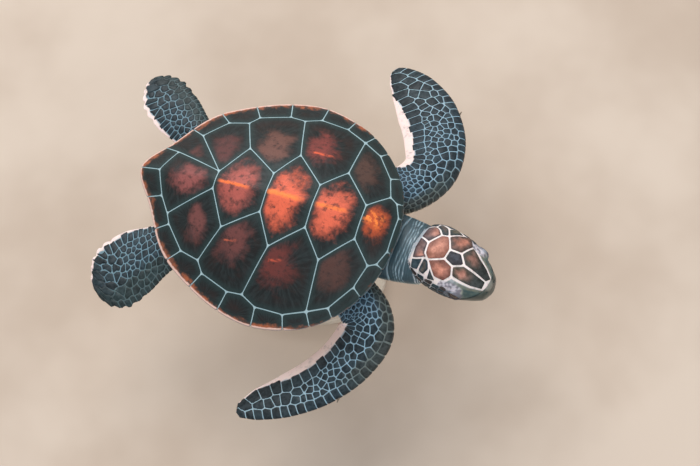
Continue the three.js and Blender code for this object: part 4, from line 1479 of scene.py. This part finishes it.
def limb_seeds(name, limb, grain):
    """Seeds of a limb's scales on its flat layout: broad ones along both edges, finer ones between."""
    rng = random.Random(name)
    front = name.startswith("front")
    start = FRONT_SCALES_START if front else REAR_SCALES_START
    last = limb.length - BARE_TIP
    seeds, sizes = [], []

    def edge_size(along):
        grown = mix(1.5, 3.3 if front else 2.4, smooth((along - start) / 30))
        return mix(grown, 3.9 if front else 2.7, smooth((along / limb.length - 0.45) / 0.2)) * grain

    def row(offset, share, spacing):
        """A row of broad scales that follows an edge."""
        along = start + rng.uniform(0, 1)
        while along < last:
            size = edge_size(along) * share
            around = offset(along, size) + rng.uniform(-0.2, 0.2)
            seeds.append(Vector((along + rng.uniform(-0.4, 0.4), around, 0)))
            sizes.append(size)
            along += size * spacing * rng.uniform(0.88, 1.14)

    row(lambda along, size: 1.5 if front else 0.9, 1.2 if front else 1.1, 1.1)
    for face in (1, -1):
        row(
            lambda along, size: face * (limb.half_girth(along) - limb_margin(name, limb, along) - size * 0.8),
            1.2, 1.45 if front else 1.15,
        )

    def inside(point):
        return abs(point.y) < limb.half_girth(point.x) - limb_margin(name, limb, point.x) - 1.0

    def size_at(point):
        share = point.x / limb.length
        if front:
            size = mix(1.2, 2.15, smooth((share - 0.2) / 0.14))
            size = mix(size, 1.75, smooth((share - 0.4) / 0.12))
            size = mix(size, 3.0, smooth((share - 0.62) / 0.2))
        else:
            size = mix(1.15, 1.75, smooth((share - 0.25) / 0.2))
            size = mix(size, 2.3, smooth((share - 0.66) / 0.2))
        return size * grain * rng.uniform(0.84, 1.18)

    widest = max(turns[-1] for turns in limb.turns)
    tries = FRONT_TRIES if front else REAR_TRIES
    spread_seeds(seeds, sizes, inside, size_at, tries, rng, (start, -widest), (last, widest))
    return seeds, sizes


def coat(whole, seeds, tints, place, spot):
    """Finishes flat cells as solid scales on the body. Their layout is turned into places by one function
    and into spots of the unwrap by the other."""
    cell = whole.faces.layers.int["cell"]
    tint = whole.verts.layers.float_color.new("tint")
    uv = whole.loops.layers.uv.new(UV_MAP)
    roots = {}
    for face in whole.faces:
        number = face[cell]
        if number not in roots:
            roots[number] = spot(seeds[number])
        root = roots[number]
        for loop in face.loops:
            vert = loop.vert
            worn = 0.3 * smooth(0.5 - vert.co.z / SCALE_HEIGHT)
            vert[tint] = (*(tints[number] * (1 + 1.6 * worn) + Vector((0.03, 0.05, 0.06)) * worn), 1)
            offset = vert.co - seeds[number]
            loop[uv].uv = (root[0] + offset.x * UNWRAP_STEP, root[1] + offset.y * UNWRAP_STEP)
    for vert in whole.verts:
        vert.co = placed(place(*vert.co))
    filled(whole)
    outward(whole)
    turn_solids(whole)
    return whole


def limb_coat(name, limb, grain, seam):
    seeds, sizes = limb_seeds(name, limb, grain)
    whole = bmesh.new()
    whole.faces.layers.int.new("cell")
    for number, part in cells(seeds, sizes, [True] * len(seeds), seam):
        seed = seeds[number]
        side = math.copysign(1, seed.y)
        behind, ahead = (
            limb.half_girth(along) - limb_margin(name, limb, along) for along in (seed.x - 2, seed.x + 2)
        )
        fit = (behind + ahead) / 2 + 0.8 * math.sin(number * 2.4)
        cut(part, (seed.x, side * fit, 0), Vector((behind - ahead, side * 4, 0)).normalized())
        if not part.faces:
            part.free()
            continue
        at_edge = fit - abs(seed.y) < sizes[number] * 1.3
        pillow(part, 0.6 if at_edge else 0.42, (1.9, 0.9 if abs(seed.y) < 6.5 else 1.7))
        add_cell(whole, part, number)
    rng = random.Random(name + "_tints")
    tints = []
    for seed in seeds:
        shade = limb_shades(name, limb, seed.x, seed.y)[0]
        shift = rng.uniform(-1, 1)
        shade = blended(shade, (64, 88, 96) if shift > 0 else (12, 20, 22), abs(shift) * 0.3)
        tints.append(srgb(*shade))

    def spot(seed):
        return on_patch(name, *limb.spot(seed.x, seed.y))

    return coat(whole, seeds, tints, limb.wrapped, spot)


# ---------- scales of the head ----------
def head_wrapped(x, aside, lift):
    """A place over the head's flat layout: lift is measured from the skin under the scales."""
    degrees = aside / HEAD_GIRTH
    out = (head_point(x, degrees, 1) - head_point(x, degrees, 0)).normalized()
    return HEAD_MATRIX @ (head_skin(x, degrees) + out * lift)


def head_spot(seed):
    share = row_before(HEAD_PLACES, seed.x) / HEAD_STEPS
    return on_patch("head", share, math.radians(seed.y / HEAD_GIRTH))


SHIELD_GAP, SHIELD_CORNER, SHIELD_RINGS, SHIELD_STEP = 0.5, 0.7, (0.08, 0.14, 0.24, 0.4), 1.0
SHIELD_SHOULDER, SHIELD_DROP = 0.55, 0.35


def head_shields():
    whole = bmesh.new()
    for name, (corners, middle, border) in SHIELDS.items():
        bm, rim = tile(shield_outline(corners), SHIELD_GAP, SHIELD_CORNER, SHIELD_RINGS, SHIELD_STEP)
        tint = bm.verts.layers.float_color.new("tint")
        uv = bm.loops.layers.uv.new(UV_MAP)
        centre = sum(rim, Vector()) / len(rim)
        for face in bm.faces:
            for loop in face.loops:
                loop[uv].uv = head_spot(loop.vert.co)
        reach = max(edge_distance(centre, rim), 1)
        for vert in bm.verts:
            flat = Vector((vert.co.x, vert.co.y, 0))
            inner = edge_distance(flat, rim)
            wobble = noise.noise(Vector((flat.x * 0.35, flat.y * 0.35, len(name)))) * 0.5
            shade = blended(border, middle, smooth(inner / reach * 1.15 - 0.1 + wobble))
            if name.startswith("parietal"):
                warm = smooth((abs(flat.y) / HEAD_GIRTH - 12) / 9) * smooth((flat.x + 22) / 4)
                shade = blended(shade, SALMON, 0.75 * warm * smooth(inner / 1.2))
            if name.startswith("prefrontal"):
                shade = blended(shade, (40, 44, 40), smooth((flat.x - 8) / 7))
            vert[tint] = (*srgb(*shade), 1)
            drop = SHIELD_DROP * rounded_off(inner, SHIELD_SHOULDER)
            lift = SCALE_DEPTH - drop if vert.co.z > 0.5 else -SHIELD_DROP
            vert.co = placed(head_wrapped(flat.x, flat.y, lift))
        add_to(whole, bm)
    return whole


LOWEST_SCALE = 134  # how far round the head its small scales reach, in degrees


def side_seeds():
    """Seeds of the scales on both sides of the head, round the eyes and on the nape."""
    rng = random.Random("head")
    seeds, sizes = [], []
    for side in SIDES.values():
        centre = on_head(EYE_PLACE.x, 76 * side)
        for i in range(9):
            turn = math.radians(36 + 170 * i / 8)
            way = Vector((math.cos(turn), math.sin(turn) * side, 0))
            seeds.append(centre + Vector((way.x * 7.4, way.y * 6.6, 0)))
            sizes.append(1.5)

    def inside(point):
        degrees = abs(point.y / HEAD_GIRTH)
        return 40 < degrees < LOWEST_SCALE and (point.x < -2 or degrees > 96)

    def size_at(point):
        low = smooth((abs(point.y / HEAD_GIRTH) - 100) / 20)
        return mix(2.25, 1.25, low) * rng.uniform(0.9, 1.12)

    lowest = LOWEST_SCALE * HEAD_GIRTH
    spread_seeds(seeds, sizes, inside, size_at, HEAD_TRIES, rng, (-24.2, -lowest), (14, lowest))
    return seeds, sizes


def is_inside(point, outline):
    """True if a point of the flat layout is inside an outline."""
    crossings = 0
    for a, b in sides_of(outline):
        if (a.y > point.y) != (b.y > point.y):
            crossings += point.x < a.x + (b.x - a.x) * (point.y - a.y) / (b.y - a.y)
    return crossings % 2 == 1


LEAST_ROUND = 0.62  # scales that the shields cut to less than this share of a disc are left out
SIDE_SHADES = ((64, 54, 52), NIGHT, (32, 54, 62), (44, 62, 68))


def head_coat(seam):
    """The small scales of the head, which keep clear of its shields, its eyes and its beak."""
    seeds, sizes = side_seeds()
    shown = []
    for seed, size in zip(seeds, sizes):
        base = head_point(seed.x, seed.y / HEAD_GIRTH, 0)
        clear = not any(is_inside(seed, outline) for outline in SHIELD_OUTLINES)
        clear = clear and min(edge_distance(seed, outline) for outline in SHIELD_OUTLINES) > size * 0.55
        shown.append(clear and in_beak(base) < -size - 0.4 and eye_spot(base)[2] > 52)
    whole = bmesh.new()
    whole.faces.layers.int.new("cell")
    for number, part in cells(seeds, sizes, shown, seam, 1.4):
        seed, radius = seeds[number], sizes[number] * 1.5
        for outline in SHIELD_OUTLINES:
            for a, b in sides_of(outline):
                nearest = a + way_along(a, b, seed)
                away = nearest - seed
                if 1e-3 < away.length < radius + seam:
                    cut(part, nearest - away.normalized() * seam / 2, away)
        face = part.faces[:][0] if part.faces else None
        roundness = 4 * math.pi * face.calc_area() / face.calc_perimeter() ** 2 if face else 0
        if roundness < LEAST_ROUND or face.calc_area() < 1.5 * sizes[number] ** 2:
            part.free()
            continue
        pillow(part, 0.34, (1.6, 1.6))
        add_cell(whole, part, number)
    rng = random.Random("head_tints")
    tints = []
    for seed in seeds:
        low = smooth((abs(seed.y / HEAD_GIRTH) - 108) / 14)
        tints.append(srgb(*blended(rng.choice(SIDE_SHADES), (168, 150, 136), low * 0.8)))
    return coat(whole, seeds, tints, head_wrapped, head_spot)


# ---------- beak, eyes and claws ----------
HORN_DEPTH = 0.1  # how far the beak lies inside its solids
NOSTRILS = [(23.2, 31), (23.2, -31)]
NOSTRIL_DEPTH, NOSTRIL_WIDTH = 0.9, 0.75
MOUTH_GAP = 0.16


def beak_half(upper):
    """One sheath of the beak, cut from the head's own shape along its edge and the mouth."""
    lean = UPPER_SHEATH_LEAN if upper else LOWER_SHEATH_LEAN

    def place(share, turn):
        if at_pole(share):
            return head_pole(share)
        x, degrees = head_row(0.5 + 0.5 * share), math.degrees(turn)
        base = head_point(x, degrees, -HORN_DEPTH)
        lip = 0.7 * (1 - smooth((abs(base.z - MOUTH_CORNER.z) - 0.1) / 0.9))
        lip += 0.35 * (1 - smooth(ahead_of_sheath(base, lean) / 0.7))
        for pit in NOSTRILS:
            lip += NOSTRIL_DEPTH * math.exp(-(((base - head_point(*pit)).length / NOSTRIL_WIDTH) ** 2))
        return head_point(x, degrees, -HORN_DEPTH - lip)

    bm = wrapped_ball(200, 150, place)
    down = -1 if upper else 1
    sheath = sheath_way(lean)
    for spot, normal in (
        (MOUTH_CORNER + sheath * 0.25, -sheath),
        (MOUTH_CORNER - Vector((0, 0, MOUTH_GAP * down)), Vector((0, 0, down))),
    ):
        cut(bm, spot, normal, 1e-4)
        filled(bm)
    for vert in bm.verts:
        vert.co = placed(HEAD_MATRIX @ vert.co)
    outward(bm)
    return bm


def beak_material():
    """Horn of the beak: dark olive above, streaked, paler along the lip, and a painted highlight on top of
    the snout's tip.
    """
    paint = Paint("beak_horn", Coat_Weight=0.3, Coat_Roughness=0.2)
    streaks = paint.noise(160, 4, 0.6, vector=paint.on_places("MULTIPLY", (0.5, 1.6, 1.6))[0])
    colour = paint.blend(srgb(24, 42, 40), srgb(58, 72, 64), paint.span(streaks, 0.42, 0.72))
    height = paint.parts(paint.coordinates)[2]
    low = paint.span(height, (RIDE_HEIGHT - 7) * MM, (RIDE_HEIGHT + 1) * MM, 0.75, 0.0)
    colour = paint.blend(colour, srgb(198, 182, 140), low)
    # painted highlight: a pale grey spot on top of the snout's tip, fading out within a few millimetres
    snout_highlight = paint.on_places("DISTANCE", placed(HEAD_MATRIX @ Vector((22.4, 0, 5.5))))["Value"]
    paint.colour(paint.blend(colour, srgb(150, 148, 138), paint.span(snout_highlight, 0.0018, 0.0046, 0.65, 0.0)))
    paint.roughness(paint.span(streaks, 0.3, 0.7, 0.24, 0.4))
    paint.bump(streaks, 0.00012, 0.5)
    return paint.material


def eye_ball(name):
    """An eye, of which each point knows how many degrees it lies from the middle of the pupil."""
    centre, axis, ahead, _ = EYES[name]
    bm = bmesh.new()
    bmesh.ops.create_uvsphere(bm, u_segments=64, v_segments=48, radius=EYE_RADIUS - 0.02)
    ring = bm.verts.layers.float.new("ring")
    turned = Matrix((ahead, axis.cross(ahead), axis)).transposed()
    for vert in bm.verts:
        vert[ring] = math.degrees(math.acos(clamp(vert.co.normalized().z, -1, 1)))
        vert.co = placed(HEAD_MATRIX @ (centre + turned @ vert.co))
    outward(bm)
    return bm


def eye_material():
    """A dark wet eye: a black pupil in a deep brown iris, and a nearly black white."""
    paint = Paint("eye_wet", Roughness=0.06, IOR=1.4, Coat_Weight=1.0, Coat_Roughness=0.02)
    ring = paint.attribute("ring")
    iris = paint.blend(srgb(40, 24, 16), srgb(88, 58, 34), paint.noise(1500, 3, 0.6))
    colour = paint.blend(srgb(4, 4, 5), iris, paint.span(ring, 12, 16))
    paint.colour(paint.blend(colour, srgb(16, 13, 13), paint.span(ring, 25, 31)))
    return paint.material


CLAW_SHARE = 0.58  # of the way along a front flipper
CLAW_LENGTH, CLAW_ROOT, CLAW_TIP = 6.0, 1.5, 0.18  # length, and radius at either end
CLAW_SUNK, CLAW_HOOK = 3.2, 0.5  # how far its root lies inside the edge, and how far its tip bends


def claw_shape(limb):
    """The one claw on a front flipper's leading edge, slightly curved."""
    centre, lead, _, width = limb.frame(CLAW_SHARE)
    ahead = (limb.frame(CLAW_SHARE + 0.02)[0] - limb.frame(CLAW_SHARE - 0.02)[0]).normalized()
    point = (lead + ahead * 0.9).normalized()
    root = centre + lead * (width.x - CLAW_SUNK)
    bm = bmesh.new()
    bmesh.ops.create_cone(
        bm, cap_ends=True, segments=20, radius1=CLAW_ROOT, radius2=CLAW_TIP, depth=CLAW_LENGTH,
    )
    bmesh.ops.subdivide_edges(
        bm, edges=[edge for edge in bm.edges if abs(edge.verts[0].co.z - edge.verts[1].co.z) > 1], cuts=9,
    )
    turned = point.to_track_quat("Z", "Y").to_matrix()
    for vert in bm.verts:
        share = vert.co.z / CLAW_LENGTH + 0.5
        swell = 1 - 0.5 * share * (1 - share)
        bent = Vector((vert.co.x * swell, vert.co.y * swell * 0.85, share * (CLAW_LENGTH - 0.1)))
        vert.co = placed(root + turned @ bent + ahead * (CLAW_HOOK * share * share))
    outward(bm)
    return bm


def claw_material():
    paint = Paint("claw_horn", Roughness=0.35, Coat_Weight=0.3)
    paint.colour(paint.blend(srgb(52, 46, 40), srgb(120, 106, 84), paint.noise(500, 3)))
    return paint.material


# ---------- stand and stage ----------
def stand_material(name, dark, light, metallic, rough):
    paint = Paint(name, Metallic=metallic)
    marks = paint.noise(300, 4, 0.6)
    paint.colour(paint.blend(dark, light, paint.span(marks, 0.3, 0.7)))
    paint.roughness(paint.span(marks, 0.3, 0.7, rough, rough + 0.14))
    paint.bump(paint.noise(1400, 2), 0.00005, 0.4)
    return paint.material


FOOT_EDGE = 1.2  # how far the foot's edges are rounded, in millimetres


def stand_base():
    """The oval foot, with rounded edges, inside its node's box."""
    low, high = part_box("stand_base")
    bm = bmesh.new()
    bmesh.ops.create_circle(bm, cap_ends=True, radius=1, segments=128)
    bmesh.ops.scale(bm, vec=((high.x - low.x) / 2, (high.y - low.y) / 2, 1), verts=bm.verts)
    raised = bmesh.ops.extrude_face_region(bm, geom=bm.faces[:])["geom"]
    upper = [item for item in raised if isinstance(item, bmesh.types.BMVert)]
    bmesh.ops.translate(bm, vec=(0, 0, high.z - low.z), verts=upper)
    edges = [edge for edge in bm.edges if abs(edge.verts[0].co.z - edge.verts[1].co.z) < 1e-6]
    bmesh.ops.bevel(
        bm, geom=edges, offset=FOOT_EDGE * MM, offset_type="OFFSET", segments=4, profile=0.5, affect="EDGES",
        material=-1,
    )
    bmesh.ops.translate(bm, vec=((low.x + high.x) / 2, (low.y + high.y) / 2, low.z), verts=bm.verts)
    outward(bm)
    return bm


def stand_rod(node):
    low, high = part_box(node)
    radius = (high.x - low.x) / 2
    bm = bmesh.new()
    bmesh.ops.create_cone(
        bm, cap_ends=True, segments=48, radius1=radius, radius2=radius, depth=high.z - low.z,
        matrix=Matrix.Translation((low + high) / 2),
    )
    return bm


def floor_material():
    paint = Paint("stage_floor", Roughness=0.9)
    cloud = paint.noise(5.5, 4, 0.55)
    paint.colour(paint.blend(srgb(190, 171, 154), srgb(209, 192, 176), paint.span(cloud, 0.35, 0.65)))
    return paint.material


FLOOR_REACH = 4  # from the middle to each side, in metres
LIGHTS_AIM = Vector((0, 0, 0.09))
# Each light: its place, size, power and colour.
LIGHTS = {
    "key": ((-0.7, 1.0, 1.5), 1.8, 29, (1.0, 0.99, 0.97)),
    "fill": ((1.2, -0.9, 1.1), 1.6, 9, (0.95, 0.98, 1.0)),
}
ROOM_LIGHT, ROOM_STRENGTH = (0.93, 0.96, 1.0, 1), 0.62


def add_light(name, place, size, watts, colour):
    data = bpy.data.lights.new(name, "AREA")
    data.shape = "DISK"
    data.size = size
    data.energy = watts
    data.color = colour
    light = added(name, data)
    light.location = place
    light.rotation_euler = (LIGHTS_AIM - Vector(place)).to_track_quat("-Z", "Y").to_euler()


# The camera's place lies straight back from a spot near the shell's middle, and it aims a little aside.
CAMERA_RIGHT = Vector((0.9365, 0.3288, -0.1218))
CAMERA_UP = Vector((-0.2726, 0.9013, 0.3370))
CAMERA_ORIGIN = Vector((6.114, 0, 98)) * MM
CAMERA_DISTANCE = 870 * MM
CAMERA_AIM = Vector((38.8368, -11.5594)) * MM  # to the right and up from the same spot
CAMERA_LENS, CAMERA_SENSOR = 77.1, 36


def add_camera():
    back = CAMERA_RIGHT.cross(CAMERA_UP).normalized()
    data = bpy.data.cameras.new("camera")
    data.lens = CAMERA_LENS
    data.sensor_width = CAMERA_SENSOR
    data.clip_start = 0.01
    camera = added("camera", data)
    place = CAMERA_ORIGIN + back * CAMERA_DISTANCE
    aim = CAMERA_ORIGIN + CAMERA_RIGHT * CAMERA_AIM.x + CAMERA_UP * CAMERA_AIM.y
    away = (place - aim).normalized()
    right = CAMERA_UP.cross(away).normalized()
    up = away.cross(right)
    camera.matrix_world = Matrix.Translation(place) @ Matrix((right, up, away)).transposed().to_4x4()
    bpy.context.scene.camera = camera


# ---------- settings ----------
def colour_setting(name, description, colour):
    return bpy.props.IntVectorProperty(
        name=name, description=f"{description}, 0 to 255 in each channel", size=3, default=colour,
        min=0, max=255,
    )


class TURTLE_PG_shell(bpy.types.PropertyGroup):
    """Sizes and colours of the shell's horn."""

    gap: bpy.props.FloatProperty(
        name="Seam", description="Half the width of the seam between two plates, in millimetres",
        default=0.17, min=0.1, max=2,
    )
    step: bpy.props.FloatProperty(
        name="Grid", description="How finely a plate is divided, in millimetres", default=1.3, min=0.5, max=5,
    )
    horn_dark: colour_setting("Dark horn", "The plates' darkest colour", (17, 23, 24))
    horn_light: colour_setting("Light horn", "The rays in the dark horn", (36, 45, 46))


class TURTLE_PG_scales(bpy.types.PropertyGroup):
    """Sizes of the scales."""

    grain: bpy.props.FloatProperty(
        name="Grain", description="How large the limbs' scales are, as a share of their usual size",
        default=1.0, min=0.5, max=3, subtype="FACTOR",
    )
    seam: bpy.props.FloatProperty(
        name="Seam", description="Width of the skin that shows between two scales, in millimetres",
        default=0.55, min=0.1, max=2,
    )


class PieceOperator:
    """What every operator of this panel shares: each one builds its pieces into a scene."""

    bl_options = {"REGISTER", "UNDO"}

    def execute(self, context):
        self.build(context.scene)
        return {"FINISHED"}


class TURTLE_OT_shell(PieceOperator, bpy.types.Operator):
    """Builds the plates of the shell and the pale layer in their seams"""

    bl_idname = "turtle.shell"
    bl_label = "Shell"

    def build(self, scene):
        settings = scene.turtle_shell
        horn = horn_material(settings)
        groups = {
            "scutes_vertebral": [*vertebral_outlines()],
            "scutes_costal": [*costal_outlines("left"), *costal_outlines("right")],
            "scutes_marginal": [*marginal_outlines("left"), *marginal_outlines("right")],
        }
        groups["scutes_marginal"].append(("nuchal", nuchal_outline()))
        for group, outlines in groups.items():
            whole = bmesh.new()
            for name, outline in outlines:
                shell_tile(whole, name, outline, settings.gap, settings.step)
            finished(group, whole, horn, [name for name, _ in outlines])
        finished("shell_bed", bed_ball(), seam_material())


class TURTLE_OT_plastron(PieceOperator, bpy.types.Operator):
    """Builds the pale plates of the belly"""

    bl_idname = "turtle.plastron"
    bl_label = "Plastron"

    def build(self, scene):
        finished("plastron_plates", plastron_shape(), belly_material(), ["plastron"])


class TURTLE_OT_skin(PieceOperator, bpy.types.Operator):
    """Builds the one skin of trunk, neck, head, tail and limbs"""

    bl_idname = "turtle.skin"
    bl_label = "Skin"

    def build(self, scene):
        nodes = ["trunk", "neck", "tail", "head"]
        for side in SIDES:
            for part in ("front_arm", "front_flipper", "rear_thigh", "rear_flipper"):
                nodes.append(f"{part}_{side}")
        finished("turtle_skin", one_skin(), skin_material(), nodes)


class TURTLE_OT_limb_scales(PieceOperator, bpy.types.Operator):
    """Covers the four limbs with scales"""

    bl_idname = "turtle.limb_scales"
    bl_label = "Limb scales"

    def build(self, scene):
        settings = scene.turtle_scales
        scales = scale_material()
        for name, limb in LIMBS.items():
            coat = limb_coat(name, limb, settings.grain, settings.seam)
            finished(f"scales_{name}", coat, scales)


class TURTLE_OT_head_scales(PieceOperator, bpy.types.Operator):
    """Covers the head with its shields and small scales"""

    bl_idname = "turtle.head_scales"
    bl_label = "Head scales"

    def build(self, scene):
        scales = scale_material()
        finished("head_shields", head_shields(), scales)
        finished("head_scales", head_coat(scene.turtle_scales.seam), scales)


class TURTLE_OT_beak(PieceOperator, bpy.types.Operator):
    """Builds the two sheaths of the beak"""

    bl_idname = "turtle.beak"
    bl_label = "Beak"

    def build(self, scene):
        horn = beak_material()
        for name, upper in (("beak_upper", True), ("beak_lower", False)):
            finished(f"{name}_horn", beak_half(upper), horn, [name])


class TURTLE_OT_eyes(PieceOperator, bpy.types.Operator):
    """Builds the two eyes"""

    bl_idname = "turtle.eyes"
    bl_label = "Eyes"

    def build(self, scene):
        wet = eye_material()
        for name in SIDES:
            finished(f"eyeball_{name}", eye_ball(name), wet, [f"eye_{name}"])


class TURTLE_OT_claws(PieceOperator, bpy.types.Operator):
    """Builds the claw of each front flipper"""

    bl_idname = "turtle.claws"
    bl_label = "Claws"

    def build(self, scene):
        horn = claw_material()
        for name in SIDES:
            finished(f"claw_{name}_horn", claw_shape(LIMBS[f"front_{name}"]), horn, [f"claw_{name}"])


class TURTLE_OT_stand(PieceOperator, bpy.types.Operator):
    """Builds the oval foot and the two rods of the stand"""

    bl_idname = "turtle.stand"
    bl_label = "Stand"

    def build(self, scene):
        foot = stand_material("stand_paint", srgb(196, 184, 168), srgb(210, 199, 184), 0.0, 0.5)
        steel = stand_material("stand_steel", srgb(150, 148, 144), srgb(176, 174, 170), 1.0, 0.28)
        pieces = [finished("stand_foot", stand_base(), foot, ["stand_base"])]
        for node in ("stand_rod_front", "stand_rod_rear"):
            pieces.append(finished(f"{node}_steel", stand_rod(node), steel, [node]))
        for piece in pieces:
            piece.data.set_sharp_from_angle(angle=math.radians(40))


class TURTLE_OT_stage(PieceOperator, bpy.types.Operator):
    """Sets the floor, the soft lights and the camera"""

    bl_idname = "turtle.stage"
    bl_label = "Stage"

    def build(self, scene):
        bm = bmesh.new()
        bmesh.ops.create_grid(bm, x_segments=1, y_segments=1, size=FLOOR_REACH)
        floor = added("floor", turned_to_mesh("floor", bm))
        floor.data.materials.append(floor_material())
        for name, settings in LIGHTS.items():
            add_light(name, *settings)
        world = bpy.data.worlds.new("soft_room")
        world.use_nodes = True
        background = world.node_tree.nodes["Background"]
        background.inputs["Color"].default_value = ROOM_LIGHT
        background.inputs["Strength"].default_value = ROOM_STRENGTH
        scene.world = world
        scene.view_settings.view_transform = "Standard"
        add_camera()


class TURTLE_PT_panel(bpy.types.Panel):
    """Lists the turtle's pieces and their settings"""

    bl_idname = "TURTLE_PT_panel"
    bl_label = "Sea Turtle"
    bl_space_type = "VIEW_3D"
    bl_region_type = "UI"
    bl_category = "Turtle"

    def draw(self, context):
        layout = self.layout
        scene = context.scene
        for group in (scene.turtle_shell, scene.turtle_scales):
            box = layout.box()
            for key in group.__annotations__:
                box.prop(group, key)
        for operator in OPERATORS:
            layout.operator(operator.bl_idname)


GROUPS = (TURTLE_PG_shell, TURTLE_PG_scales)
OPERATORS = (
    TURTLE_OT_shell, TURTLE_OT_plastron, TURTLE_OT_skin, TURTLE_OT_limb_scales, TURTLE_OT_head_scales,
    TURTLE_OT_beak, TURTLE_OT_eyes, TURTLE_OT_claws, TURTLE_OT_stand, TURTLE_OT_stage,
)


def register():
    for each in (*GROUPS, *OPERATORS, TURTLE_PT_panel):
        bpy.utils.register_class(each)
    bpy.types.Scene.turtle_shell = bpy.props.PointerProperty(type=TURTLE_PG_shell)
    bpy.types.Scene.turtle_scales = bpy.props.PointerProperty(type=TURTLE_PG_scales)


def unregister():
    del bpy.types.Scene.turtle_scales
    del bpy.types.Scene.turtle_shell
    for each in reversed((*GROUPS, *OPERATORS, TURTLE_PT_panel)):
        bpy.utils.unregister_class(each)


def main():
    register()
    bpy.ops.turtle.shell()
    bpy.ops.turtle.plastron()
    bpy.ops.turtle.skin()
    bpy.ops.turtle.limb_scales()
    bpy.ops.turtle.head_scales()
    bpy.ops.turtle.beak()
    bpy.ops.turtle.eyes()
    bpy.ops.turtle.claws()
    bpy.ops.turtle.stand()
    bpy.ops.turtle.stage()


if __name__ == "__main__":
    main()
